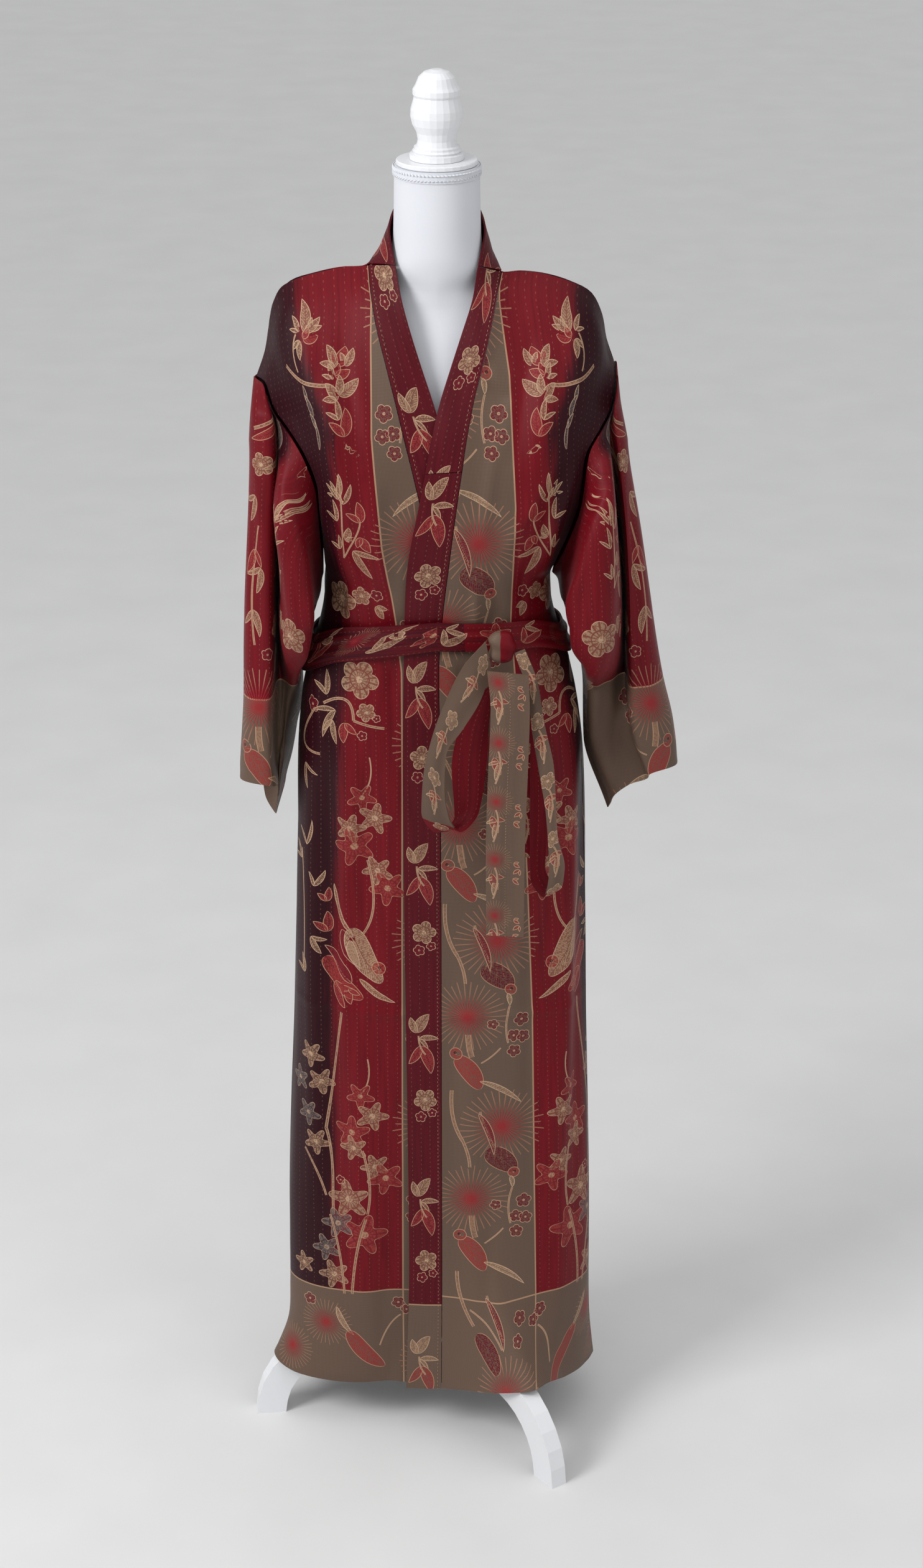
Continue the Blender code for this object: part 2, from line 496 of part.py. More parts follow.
def belt_rings(count=48, levels=3):
    """The belt's stretch round the waist, over the robe, as closed rings from its lower to its upper edge."""
    turn = np.linspace(0, 360, count, endpoint=False)
    rows = list(BELT) + [Belt(360, BELT[0].height, BELT[0].width)]
    middle, width = column(rows, "height", turn), column(rows, "width", turn)
    front = (turn <= 90) | (turn >= 270)
    half = np.radians(np.where(front, (turn + 90) % 360 - 90, 180 - turn))
    rings = []
    for level in np.linspace(-0.5, 0.5, levels):
        height = middle + level * width
        ahead = body_point(half, height, True)
        behind = body_point(half, height, False)
        ring = np.where(front[:, None], ahead, behind)
        around = np.roll(ring, -1, axis=0) - np.roll(ring, 1, axis=0)
        out = np.stack((around[:, 1], -around[:, 0]), 1) / np.linalg.norm(around[:, :2], axis=1)[:, None]
        ring[:, :2] += out * (BELT_CLEARANCE + FOLDED + 0.0012 * (1 - (2 * level)**2))
        rings.append(ring)
    return rings


# ---- meshes -----------------------------------------------------------------------------------------------------
def material(name, colour, roughness, metallic=0.0):
    made = bpy.data.materials.new(name)
    made.use_nodes = True
    shader = made.node_tree.nodes["Principled BSDF"]
    shader.inputs["Base Color"].default_value = (*colour, 1.0)
    shader.inputs["Roughness"].default_value = roughness
    shader.inputs["Metallic"].default_value = metallic
    return made


def add_mesh(name, points, faces, finish, sharp=math.radians(50)):
    mesh = bpy.data.meshes.new(name)
    mesh.from_pydata([tuple(map(float, p)) for p in points], [], faces)
    mesh.shade_smooth()
    mesh.set_sharp_from_angle(angle=sharp)
    mesh.materials.append(finish)
    made = bpy.data.objects.new(name, mesh)
    bpy.context.scene.collection.objects.link(made)
    made.parent = ROOT
    return made


def wall(made, thickness, outward=False):
    """Gives a sheet its thickness, inwards from its face unless outward."""
    solid = made.modifiers.new("wall", "SOLIDIFY")
    solid.thickness = thickness
    solid.offset = 1.0 if outward else -1.0
    solid.use_even_offset = False
    return made


def grid_sheet(name, grid, finish, thickness, flip=False, outward=False):
    """A cloth wall over a grid of points."""
    rows, cols = grid.shape[:2]
    faces = []
    for i in range(rows - 1):
        for j in range(cols - 1):
            quad = (i * cols + j, i * cols + j + 1, (i + 1) * cols + j + 1, (i + 1) * cols + j)
            faces.append(quad[::-1] if flip else quad)
    return wall(add_mesh(name, grid.reshape(-1, 3), faces, finish), thickness, outward)


def tube_sheet(name, rings, finish, thickness, flip=False):
    """A cloth wall over closed sections, open at both ends."""
    count = len(rings[0])
    faces = []
    for i in range(len(rings) - 1):
        for j in range(count):
            k = (j + 1) % count
            quad = (i * count + j, i * count + k, (i + 1) * count + k, (i + 1) * count + j)
            faces.append(quad[::-1] if flip else quad)
    return wall(add_mesh(name, np.concatenate(rings), faces, finish), thickness)


def loft(name, rings, finish):
    """A closed solid through rings of equal count, lowest first, each counter-clockwise from above."""
    count = len(rings[0])
    faces = [tuple(range(count))[::-1], tuple(range((len(rings) - 1) * count, len(rings) * count))]
    for i in range(len(rings) - 1):
        for j in range(count):
            k = (j + 1) % count
            faces.append((i * count + j, i * count + k, (i + 1) * count + k, (i + 1) * count + j))
    return add_mesh(name, np.concatenate(rings), faces, finish)


def circle(radius, height, count, centre_x=0.0):
    turn = np.linspace(0, 2 * math.pi, count, endpoint=False)
    return np.stack((centre_x + radius * np.cos(turn), radius * np.sin(turn), np.full(count, height)), 1)


def ribbon(name, rows, finish, count, flip=False):
    """A strip of belt between a left and a right edge."""
    left = smooth_run([(r.left_x, r.y, r.left_z) for r in rows], count)
    right = smooth_run([(r.right_x, r.y, r.right_z) for r in rows], count)
    return grid_sheet(name, band_grid(left, right, 3), finish, FOLDED, flip)


# ---- the object -------------------------------------------------------------------------------------------------
for old in list(bpy.data.objects):
    bpy.data.objects.remove(old, do_unlink=True)
ROOT = bpy.data.objects.new("robe_on_form", None)
bpy.context.scene.collection.objects.link(ROOT)

silk_red = material("silk_jacquard", (0.20, 0.018, 0.030), 0.48)
silk_band = material("silk_neckband", (0.13, 0.014, 0.028), 0.48)
silk_belt = material("silk_belt", (0.24, 0.10, 0.075), 0.50)
white_jersey = material("white_jersey", (0.78, 0.79, 0.82), 0.85)
white_paint = material("white_painted_wood", (0.83, 0.84, 0.86), 0.35)


def make_robe():
    grid_sheet("front_left", front_panel("right"), silk_red, SILK, flip=True)
    grid_sheet("front_right", front_panel("left"), silk_red, SILK)
    grid_sheet("back", back_panel(), silk_red, SILK, flip=True)
    tube_sheet("sleeve_left", sleeve("right"), silk_red, SILK)
    tube_sheet("sleeve_right", sleeve("left"), silk_red, SILK, flip=True)


def make_neckband():
    over = band("over_seam", "over_free", NECK_POINT["right"], FREE_TOP["right"])
    under = band("under_seam", "under_free", NECK_POINT["left"], FREE_TOP["left"])
    joint = len(LOWER) + 3
    lower, upper = over[:joint + 1].copy(), over[joint:].copy()
    upper[0, :, 2] += 2 * SEAM
    grid_sheet("neckband_left_lower", lower, silk_band, FOLDED)
    grid_sheet("neckband_left_upper", upper, silk_band, FOLDED)
    grid_sheet("neckband_right", under, silk_band, FOLDED)
    seam = np.concatenate((back_neck("left", 11), back_neck("right", 11)[-2::-1]))
    free = smooth_run((FREE_TOP["left"],) + NECK_TOP + (FREE_TOP["right"],), 21)
    seam[:, 2] += 5 * SEAM
    neck = band_grid(seam, free)
    for end, step in ((0, 1), (-1, -1)):
        neck[end] += 2 * SEAM * (neck[end + step] - neck[end]) / np.linalg.norm(neck[end + step] - neck[end], axis=1)[:, None]
    grid_sheet("neckband_neck", neck, silk_band, FOLDED)


def make_belt():
    tube_sheet("belt_round", belt_rings(), silk_belt, FOLDED)
    ribbon("belt_loop_left", LOOP_LEFT, silk_belt, 25)
    ribbon("belt_loop_right", LOOP_RIGHT, silk_belt, 25)
    ribbon("belt_tail_wide", TAIL_WIDE, silk_belt, 9)
    ribbon("belt_tail_narrow", TAIL_NARROW, silk_belt, 7)


def make_knot():
    """The wrapped knot: a rounded block where the loops and tails leave the belt."""
    rings = []
    for rise, swell in ((-1.0, 0.55), (-0.8, 0.85), (0.0, 1.0), (0.8, 0.85), (1.0, 0.55)):
        ring = circle(1.0, 0.0, 16)
        ring *= (KNOT.half_width * swell, KNOT.half_depth * swell, 0.0)
        rings.append(ring + (KNOT.x, KNOT.y, KNOT.z + rise * KNOT.half_height))
    loft("belt_knot", rings, silk_belt)


def make_form():
    rings = []
    turn = np.linspace(0, 2 * math.pi, 24, endpoint=False)
    for height in np.concatenate((np.linspace(0.806, 1.38, 10), np.linspace(1.38, DISC_TOP - DISC_THICKNESS - SEAM, 15)[1:])):
        half, ahead, behind, power = (float(column(TORSO, k, [height])[0]) for k in Torso._fields[1:])
        across, deep = np.abs(np.cos(turn))**(2 / power), np.abs(np.sin(turn))**(2 / power)
        x = TORSO_X + half * np.sign(np.cos(turn)) * across
        y = np.where(np.sin(turn) < 0, -ahead, behind) * deep
        rings.append(np.stack((x, y, np.full(24, height)), 1))
    loft("form_torso", rings, white_jersey)


def ring_wall(name, inner, outer, bottom, top, finish, count=32):
    """A flat band round the neck."""
    loops = [circle(r, z, count, TORSO_X) for r, z in ((outer, bottom), (outer, top), (inner, top), (inner, bottom))]
    faces = []
    for i in range(4):
        for j in range(count):
            k = (j + 1) % count
            n = (i + 1) % 4
            faces.append((i * count + j, i * count + k, n * count + k, n * count + j))
    return add_mesh(name, np.concatenate(loops), faces, finish)


def make_stand():
    top = DISC_TOP - DISC_THICKNESS
    ring_wall("neck_trim", 0.0470 + 2 * SEAM, TRIM_RADIUS, top - TRIM_HEIGHT, top - SEAM, white_jersey)
    disc = [circle(r, top + z, 32, TORSO_X) for r, z in
            ((DISC_RADIUS - 0.001, 0.0), (DISC_RADIUS, 0.001), (DISC_RADIUS, DISC_THICKNESS - 0.001),
             (DISC_RADIUS - 0.001, DISC_THICKNESS))]
    loft("neck_disc", disc, white_paint)
    loft("finial", [circle(r, DISC_TOP + SEAM + z, 24, TORSO_X) for r, z in FINIAL], white_paint)
    loft("pole", [circle(POLE_RADIUS, z, 16) for z in (HUB_TOP + SEAM, TORSO[0].height - SEAM)], white_paint)
    hub = ((0.024, HUB_BOTTOM), (HUB_RADIUS, HUB_BOTTOM + 0.008), (HUB_RADIUS, HUB_TOP - 0.016), (0.024, HUB_TOP - 0.006),
           (0.018, HUB_TOP))
    loft("stand_hub", [circle(r, z, 32) for r, z in hub], white_paint)
    middle = smooth_run([(row.reach, row.height, row.half_depth) for row in LEG], 13)
    outline = []
    for side in (1, -1):
        ahead = np.gradient(middle[:, :2], axis=0)
        normal = np.stack((-ahead[:, 1], ahead[:, 0]), 1) / np.linalg.norm(ahead, axis=1)[:, None]
        edge = middle[:, :2] + side * normal * middle[:, 2:]
        outline += list(edge if side > 0 else edge[::-1])
    outline = level_ends(np.array(outline), len(middle))
    for number, turn in enumerate(LEG_TURNS, start=1):
        make_leg(f"stand_leg_{number}", outline, math.radians(turn))


def level_ends(outline, count):
    """The foot is cut level at the floor, and the other end upright against the hub."""
    outline = outline.copy()
    outline[[count - 1, count], 1] = 0.0
    outline[[0, -1], 0] = HUB_RADIUS + 2 * SEAM
    return outline


def make_leg(name, outline, turn):
    """One curved plank, its outline swept across its thickness."""
    out = np.array((math.cos(turn), math.sin(turn), 0.0))
    across = np.array((-math.sin(turn), math.cos(turn), 0.0))
    count = len(outline)
    sides = [outline[:, :1] * out + s * across * LEG_THICKNESS / 2 + outline[:, 1:] * (0.0, 0.0, 1.0) for s in (-1, 1)]
    faces = [tuple(range(count))[::-1], tuple(range(count, 2 * count))]
    faces += [(j, (j + 1) % count, count + (j + 1) % count, count + j) for j in range(count)]
    add_mesh(name, np.concatenate(sides), faces, white_paint)


def centre():
    """Puts the origin on the floor under the centre of the whole object's box."""
    graph = bpy.context.evaluated_depsgraph_get()
    corners = []
    for made in ROOT.children:
        mesh = made.evaluated_get(graph).to_mesh()
        corners += [tuple(v.co) for v in mesh.vertices]
    corners = np.array(corners)
    low, high = corners.min(axis=0), corners.max(axis=0)
    ROOT.location = Vector((-(low[0] + high[0]) / 2, -(low[1] + high[1]) / 2, -low[2]))
    bpy.context.view_layer.update()


make_robe()
make_neckband()
make_belt()
make_knot()
make_form()
make_stand()
centre()
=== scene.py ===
"""Looks of a silk kimono robe with its tie belt, worn on a white limbless dress form, laid out as an add-on.

Each operator makes one piece or a group of like pieces over the packed frame, and the panel lists them in order.
Metres, +Z up, the wearer's front faces -Y.
"""
import math
from collections import namedtuple

import bpy
import numpy as np
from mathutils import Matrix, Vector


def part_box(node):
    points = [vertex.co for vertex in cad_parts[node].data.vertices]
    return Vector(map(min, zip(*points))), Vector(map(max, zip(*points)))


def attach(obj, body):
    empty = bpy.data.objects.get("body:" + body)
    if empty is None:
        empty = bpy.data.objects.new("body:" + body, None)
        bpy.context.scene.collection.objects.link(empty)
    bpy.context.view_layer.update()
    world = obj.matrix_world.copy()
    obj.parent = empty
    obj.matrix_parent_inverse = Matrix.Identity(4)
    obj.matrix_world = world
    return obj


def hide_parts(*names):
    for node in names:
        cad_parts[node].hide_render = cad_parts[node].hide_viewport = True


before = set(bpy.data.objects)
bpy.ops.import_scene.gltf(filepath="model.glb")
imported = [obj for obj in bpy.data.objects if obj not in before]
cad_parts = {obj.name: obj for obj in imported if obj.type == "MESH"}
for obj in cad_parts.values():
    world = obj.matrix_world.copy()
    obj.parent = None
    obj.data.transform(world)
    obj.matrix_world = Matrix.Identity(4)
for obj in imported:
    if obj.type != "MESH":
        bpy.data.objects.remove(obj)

bl_info = {
    "name": "Silk robe on a dress form",
    "version": (1, 0, 0),
    "blender": (4, 5, 0),
    "location": "View3D > Sidebar > Robe",
    "description": "Builds the cloth, dress form, stand and studio over the packed frame",
    "category": "Object",
}

# ---- driving sizes shared with the part --------------------------------------------------------------------------
SILK = 0.0015            # one layer of cloth
FOLDED = 0.0022          # the folded neckband and belt
SEAM = 0.0004            # room left between two pieces at a seam
HEM_HEIGHT = 0.067
UNDERARM_HEIGHT = 1.133
RIDGE = 0.0020           # how far each panel's shoulder edge stays off the ridge
SIDE_ROUNDNESS = 2.4     # exponent of the body's oval section
LAP = 0.0048             # how far the under front lies behind the over front
LAP_AT_HEM = 0.0130
BELT_CLEARANCE = 0.0034  # from the robe's face to the belt's back
TORSO_X = -0.0035        # the form stands a little off its pole
DISC_TOP = 1.609

# ---- the robe's body: half of its outline on each side, and its depth, at each height ----------------------------
Body = namedtuple("Body", "height left right front back")
BODY = (
    Body(0.067, -0.218, 0.194, 0.081, 0.088),
    Body(0.100, -0.203, 0.190, 0.080, 0.086),
    Body(0.155, -0.195, 0.186, 0.079, 0.085),
    Body(0.330, -0.192, 0.183, 0.078, 0.084),
    Body(0.550, -0.182, 0.176, 0.080, 0.088),
    Body(0.760, -0.173, 0.171, 0.086, 0.098),
    Body(0.900, -0.167, 0.164, 0.093, 0.107),
    Body(0.965, -0.164, 0.160, 0.095, 0.106),
    Body(1.015, -0.157, 0.151, 0.093, 0.097),
    Body(1.055, -0.146, 0.140, 0.092, 0.086),
    Body(1.090, -0.137, 0.129, 0.095, 0.084),
    Body(1.133, -0.132, 0.124, 0.104, 0.087),
)

# ---- the hem line, which lies over the stand's legs: direction seen from above, reach from the pole, height ------
Hem = namedtuple("Hem", "azimuth reach height")
HEM = (
    Hem(-172, 0.2190, 0.083), Hem(-166, 0.2010, 0.074), Hem(-153, 0.1470, 0.068), Hem(-143, 0.1134, 0.067),
    Hem(-122, 0.0935, 0.067), Hem(-101, 0.0830, 0.067), Hem(-90, 0.0850, 0.070), Hem(-74, 0.1150, 0.084),
    Hem(-62, 0.1620, 0.102), Hem(-55, 0.1880, 0.112), Hem(-48, 0.1860, 0.111), Hem(-30, 0.1770, 0.090),
    Hem(-11, 0.1840, 0.075), Hem(2, 0.1930, 0.069), Hem(25, 0.1850, 0.074), Hem(46, 0.1700, 0.094),
    Hem(60, 0.1860, 0.110), Hem(67, 0.1900, 0.114), Hem(74, 0.1840, 0.110), Hem(88, 0.1420, 0.090),
    Hem(108, 0.1050, 0.072), Hem(130, 0.1320, 0.068),
    Hem(165, 0.2000, 0.072), Hem(188, 0.2190, 0.083),
)
HEM_EASE = 0.300         # the height above which the legs no longer shape the robe

# ---- the neckband's two edges on each front: x at each height, and how far forward they lie ----------------------
Edge = namedtuple("Edge", "height depth under_seam under_free over_free over_seam")
EDGES = (
    Edge(0.067, None, -0.012, 0.030, -0.0470, -0.0020),
    Edge(0.260, None, 0.020, 0.064, -0.0415, -0.0010),
    Edge(0.485, None, 0.062, 0.106, -0.0425, -0.0010),
    Edge(0.700, None, 0.066, 0.110, -0.0440, -0.0008),
    Edge(0.905, None, 0.060, 0.104, -0.0444, -0.0010),
    Edge(1.040, None, 0.030, 0.075, -0.0425, -0.0024),
    Edge(1.133, None, 0.005, 0.051, -0.0400, 0.0040),
    Edge(1.180, 0.113, -0.006, 0.039, -0.0368, 0.0095),
    Edge(1.230, 0.119, -0.018, 0.026, -0.0275, 0.0155),
    Edge(1.280, 0.119, -0.029, 0.013, -0.0178, 0.0225),
    Edge(1.325, 0.112, -0.040, 0.003, -0.0095, 0.0291),
    Edge(1.350, 0.104, -0.046, -0.004, -0.0040, 0.0335),
    Edge(1.385, 0.092, -0.055, -0.016, 0.0071, 0.0425),
    Edge(1.421, 0.078, -0.065, -0.028, 0.0191, 0.0520),
    Edge(1.458, 0.060, -0.074, -0.040, 0.0329, 0.0600),
)
FREE_TOP = {"left": (-0.0495, -0.036, 1.499), "right": (0.0422, -0.036, 1.498)}
NECK_TOP = ((-0.0570, -0.006, 1.533), (-0.0515, 0.027, 1.548), (-0.030, 0.049, 1.553), (-0.004, 0.0560, 1.555),
            (0.023, 0.049, 1.553), (0.044, 0.027, 1.547), (0.0500, -0.006, 1.532))
NECK_POINT = {"left": (-0.0795, -0.014, 1.494), "right": (0.0676, -0.014, 1.486)}

# ---- shoulder lines and armhole seams: from the neck out to the drop point, then down to the underarm ------------
SHOULDER = {
    "left": ((-0.110, 0.0, 1.4885), (-0.150, 0.0, 1.4790), (-0.178, 0.0, 1.4650), (-0.189, 0.0, 1.438),
             (-0.195, 0.0, 1.400), (-0.2065, 0.0, 1.3650)),
    "right": ((0.100, 0.0, 1.4840), (0.140, 0.0, 1.4740), (0.167, 0.0, 1.4600), (0.180, 0.0, 1.435),
              (0.1865, 0.0, 1.402), (0.1940, 0.0, 1.3820)),
}
ARMHOLE_FRONT = {
    "left": ((-0.2065, 0.0, 1.3650), (-0.196, -0.028, 1.3660), (-0.1844, -0.052, 1.3420), (-0.1621, -0.080, 1.3190),
             (-0.1450, -0.089, 1.2890), (-0.1350, -0.080, 1.2500), (-0.1330, -0.058, 1.2000), (-0.1320, 0.0, 1.133)),
    "right": ((0.1940, 0.0, 1.3820), (0.1936, -0.025, 1.3740), (0.1890, -0.052, 1.3450), (0.1790, -0.074, 1.3300),
              (0.1610, -0.089, 1.3020), (0.1540, -0.077, 1.2400), (0.1390, -0.050, 1.1830), (0.1240, 0.0, 1.133)),
}
BACK_SEAM_DEPTHS = (0.0, 0.030, 0.052, 0.070, 0.076, 0.070, 0.046, 0.0)

# ---- sleeves: each section's fold line, flat strip, valley, pouch of slack cloth, inner edge and back ------------
Sleeve = namedtuple("Sleeve", "outer_x outer_z strip_x valley_y pouch_out pouch_in pouch_y inner_x inner_y inner_z back_y")
SLEEVES = {
    "left": (
        Sleeve(-0.2110, 1.335, -0.1872, -0.050, -0.1760, -0.1510, -0.103, -0.1375, 0.004, 1.112, 0.066),
        Sleeve(-0.2150, 1.275, -0.1890, -0.034, -0.1800, -0.1470, -0.110, -0.1435, 0.008, 1.090, 0.070),
        Sleeve(-0.2185, 1.190, -0.1910, -0.022, -0.1750, -0.1430, -0.109, -0.1530, 0.014, 1.064, 0.070),
        Sleeve(-0.2225, 1.110, -0.1935, -0.018, -0.1730, -0.1490, -0.097, -0.1610, 0.022, 1.034, 0.067),
        Sleeve(-0.2245, 1.058, -0.1950, -0.012, -0.1740, -0.1620, -0.055, -0.1640, 0.038, 1.005, 0.068),
        Sleeve(-0.2262, 0.995, -0.1966, -0.010, -0.1840, -0.1760, -0.004, -0.1660, 0.054, 0.967, 0.070),
        Sleeve(-0.2310, 0.932, -0.1975, -0.022, -0.1900, -0.1860, -0.010, -0.1780, 0.052, 0.890, 0.064),
        Sleeve(-0.2345, 0.893, -0.1985, -0.030, -0.1940, -0.1940, -0.008, -0.2000, 0.034, 0.812, 0.046),
    ),
    "right": (
        Sleeve(0.2005, 1.350, 0.1930, -0.050, 0.1880, 0.1640, -0.104, 0.1350, 0.004, 1.118, 0.068),
        Sleeve(0.2110, 1.295, 0.1985, -0.040, 0.1930, 0.1580, -0.112, 0.1380, 0.006, 1.100, 0.072),
        Sleeve(0.2260, 1.200, 0.2090, -0.026, 0.1935, 0.1460, -0.110, 0.1450, 0.010, 1.080, 0.074),
        Sleeve(0.2380, 1.115, 0.2150, -0.020, 0.1930, 0.1480, -0.104, 0.1560, 0.014, 1.050, 0.074),
        Sleeve(0.2450, 1.065, 0.2175, -0.016, 0.1935, 0.1680, -0.086, 0.1620, 0.018, 1.020, 0.072),
        Sleeve(0.2545, 1.010, 0.2205, -0.014, 0.1960, 0.1760, -0.030, 0.1660, 0.020, 0.985, 0.068),
        Sleeve(0.2670, 0.955, 0.2260, -0.030, 0.2000, 0.1760, -0.026, 0.1670, 0.010, 0.925, 0.058),
        Sleeve(0.2750, 0.905, 0.2440, -0.052, 0.2200, 0.2020, -0.050, 0.1960, -0.020, 0.845, 0.030),
    ),
}
BLADE_FULLNESS = 0.018   # roundness of the back over the shoulder blades
BACK_CENTRE = ((-0.005, 0.096, 1.200), (-0.005, 0.101, 1.270), (-0.005, 0.097, 1.350), (-0.005, 0.084, 1.420),
               (-0.005, 0.068, 1.470), (-0.005, 0.0575, 1.508))
SLEEVE_GAP = 0.0034
FRONT_SPOTS = (0.0, 0.10, 0.25, 0.42, 0.60, 0.80, 1.0)   # where the fold lines meet the armhole's front seam
BACK_SPOTS = (0.30, 0.60, 0.85)                          # and its back seam
STRIP_Y = {"left": -0.068, "right": -0.060}
OUTER_Y = {"left": -0.050, "right": -0.035}

# ---- belt: middle height and width all round, then its loops and tails as pairs of edges ---------------------------
Belt = namedtuple("Belt", "turn height width")
BELT = (
    Belt(0, 1.089, 0.036), Belt(45, 1.083, 0.034), Belt(90, 1.056, 0.036), Belt(135, 1.052, 0.040),
    Belt(180, 1.050, 0.042), Belt(225, 1.044, 0.042), Belt(270, 1.038, 0.046), Belt(315, 1.070, 0.043),
)
Strip = namedtuple("Strip", "left_x left_z right_x right_z y")
LOOP_LEFT = (
    Strip(0.0505, 1.0930, 0.0570, 1.0600, -0.1240),
    Strip(0.0256, 1.0678, 0.0450, 1.0270, -0.1360),
    Strip(0.0040, 1.0254, 0.0250, 0.9950, -0.1440),
    Strip(-0.0100, 0.9869, 0.0060, 0.9647, -0.1480),
    Strip(-0.0204, 0.9369, 0.0039, 0.9229, -0.1500),
    Strip(-0.0225, 0.8930, 0.0089, 0.8847, -0.1440),
    Strip(-0.0030, 0.8620, 0.0230, 0.8620, -0.1320),
    Strip(0.0153, 0.8760, 0.0420, 0.8800, -0.1190),
    Strip(0.0120, 0.9351, 0.0510, 0.9350, -0.1130),
    Strip(0.0180, 0.9743, 0.0545, 0.9900, -0.1120),
    Strip(0.0480, 1.0300, 0.0600, 1.0400, -0.1130),
)
LOOP_RIGHT = (
    Strip(0.0830, 1.0780, 0.0942, 1.0830, -0.1200),
    Strip(0.0985, 1.0300, 0.1075, 1.0500, -0.1290),
    Strip(0.1022, 0.9950, 0.1170, 0.9980, -0.1350),
    Strip(0.1110, 0.9420, 0.1283, 0.9437, -0.1400),
    Strip(0.1200, 0.8850, 0.1330, 0.8620, -0.1420),
    Strip(0.1240, 0.8150, 0.1420, 0.8200, -0.1380),
    Strip(0.1170, 0.7780, 0.1370, 0.7860, -0.1290),
    Strip(0.1030, 0.7960, 0.1200, 0.8120, -0.1170),
    Strip(0.1020, 0.8700, 0.1230, 0.8800, -0.1120),
    Strip(0.1020, 0.9600, 0.1180, 0.9650, -0.1110),
    Strip(0.0980, 1.0350, 0.1060, 1.0400, -0.1110),
)
TAIL_WIDE = (
    Strip(0.0520, 1.0660, 0.0985, 1.0610, -0.1450),
    Strip(0.0560, 1.0200, 0.1000, 1.0158, -0.1480),
    Strip(0.0535, 0.9465, 0.0980, 0.9325, -0.1500),
    Strip(0.0510, 0.8500, 0.0957, 0.8500, -0.1500),
    Strip(0.0520, 0.7390, 0.0953, 0.7360, -0.1480),
)
TAIL_NARROW = (
    Strip(0.0870, 1.0400, 0.1010, 1.0400, -0.1060),
    Strip(0.0860, 0.9600, 0.1025, 0.9600, -0.1040),
    Strip(0.0865, 0.8820, 0.1070, 0.8720, -0.1030),
    Strip(0.0900, 0.8198, 0.1086, 0.8140, -0.1020),
)

Knot = namedtuple("Knot", "x y z half_width half_depth half_height")
KNOT = Knot(0.0690, -0.1170, 1.0840, 0.0150, 0.0100, 0.0190)

# ---- dress form -----------------------------------------------------------------------------------------------------
Torso = namedtuple("Torso", "height half_width front back roundness")
TORSO = (
    Torso(0.806, 0.149, 0.070, 0.084, 2.2), Torso(0.880, 0.152, 0.077, 0.092, 2.2),
    Torso(0.950, 0.146, 0.079, 0.091, 2.2), Torso(1.010, 0.128, 0.077, 0.080, 2.2),
    Torso(1.070, 0.114, 0.076, 0.070, 2.2), Torso(1.130, 0.112, 0.084, 0.072, 2.2),
    Torso(1.200, 0.117, 0.097, 0.077, 2.2), Torso(1.270, 0.126, 0.102, 0.078, 2.1),
    Torso(1.330, 0.138, 0.092, 0.074, 2.0), Torso(1.380, 0.150, 0.074, 0.062, 1.9),
    Torso(1.420, 0.152, 0.056, 0.046, 1.7), Torso(1.440, 0.136, 0.046, 0.036, 1.6),
    Torso(1.455, 0.098, 0.042, 0.032, 1.6), Torso(1.467, 0.070, 0.042, 0.034, 1.6),
    Torso(1.478, 0.058, 0.044, 0.038, 1.7), Torso(1.492, 0.0570, 0.0465, 0.0430, 1.9),
    Torso(1.510, 0.0505, 0.0485, 0.0465, 2.0), Torso(1.535, 0.0482, 0.0485, 0.0475, 2.0),
    Torso(1.600, 0.0470, 0.0470, 0.0470, 2.0),
)
TRIM_RADIUS = 0.0485
TRIM_HEIGHT = 0.012
DISC_RADIUS = 0.045
DISC_THICKNESS = 0.0055
HUB_RADIUS = 0.032
HUB_BOTTOM, HUB_TOP = 0.074, 0.132
# radius and height above the disc of the turned wooden top
FINIAL = (
    (0.0300, 0.0000), (0.0300, 0.0060), (0.0260, 0.0072), (0.0272, 0.0092), (0.0250, 0.0112), (0.0252, 0.0135),
    (0.0222, 0.0152), (0.0210, 0.0210), (0.0225, 0.0290), (0.0270, 0.0375), (0.0290, 0.0460), (0.0287, 0.0540),
    (0.0258, 0.0645), (0.0250, 0.0675), (0.0264, 0.0700), (0.0264, 0.0755), (0.0240, 0.0790), (0.0230, 0.0810),
    (0.0200, 0.0885), (0.0140, 0.0940), (0.0060, 0.0966),
)
# centre line and half depth of one tripod leg, out from the pole
Leg = namedtuple("Leg", "reach height half_depth")
LEG = (
    Leg(0.033, 0.1002, 0.0180), Leg(0.080, 0.1002, 0.0180), Leg(0.1226, 0.1002, 0.0182), Leg(0.1569, 0.0942, 0.0185),
    Leg(0.1870, 0.0768, 0.0185), Leg(0.2094, 0.0501, 0.0185), Leg(0.2194, 0.0259, 0.0185), Leg(0.2228, 0.0000, 0.0185),
)


# ---- curves ---------------------------------------------------------------------------------------------------------
def steps(keys, values, at):
    """A smooth curve through values at keys that never overshoots them (monotone cubic)."""
    keys, values, at = (np.asarray(v, float) for v in (keys, values, at))
    width = np.diff(keys)
    slope = np.diff(values, axis=0) / (width[:, None] if values.ndim == 2 else width)
    before, after = slope[:-1], slope[1:]
    same = before * after > 0
    middle = np.where(same, 2 * before * after / np.where(same, before + after, 1.0), 0.0)
    bend = np.concatenate((slope[:1], middle, slope[-1:]))
    i = np.clip(np.searchsorted(keys, at, side="right") - 1, 0, len(keys) - 2)
    t = (at - keys[i]) / width[i]
    w = width[i]
    if values.ndim == 2:
        t, w = t[:, None], w[:, None]
    return ((2 * t**3 - 3 * t**2 + 1) * values[i] + (t**3 - 2 * t**2 + t) * w * bend[i]
            + (3 * t**2 - 2 * t**3) * values[i + 1] + (t**3 - t**2) * w * bend[i + 1])


def column(table, name, at):
    """The named column of a table, smoothed over its first column."""
    return steps([row[0] for row in table], [getattr(row, name) for row in table], at)


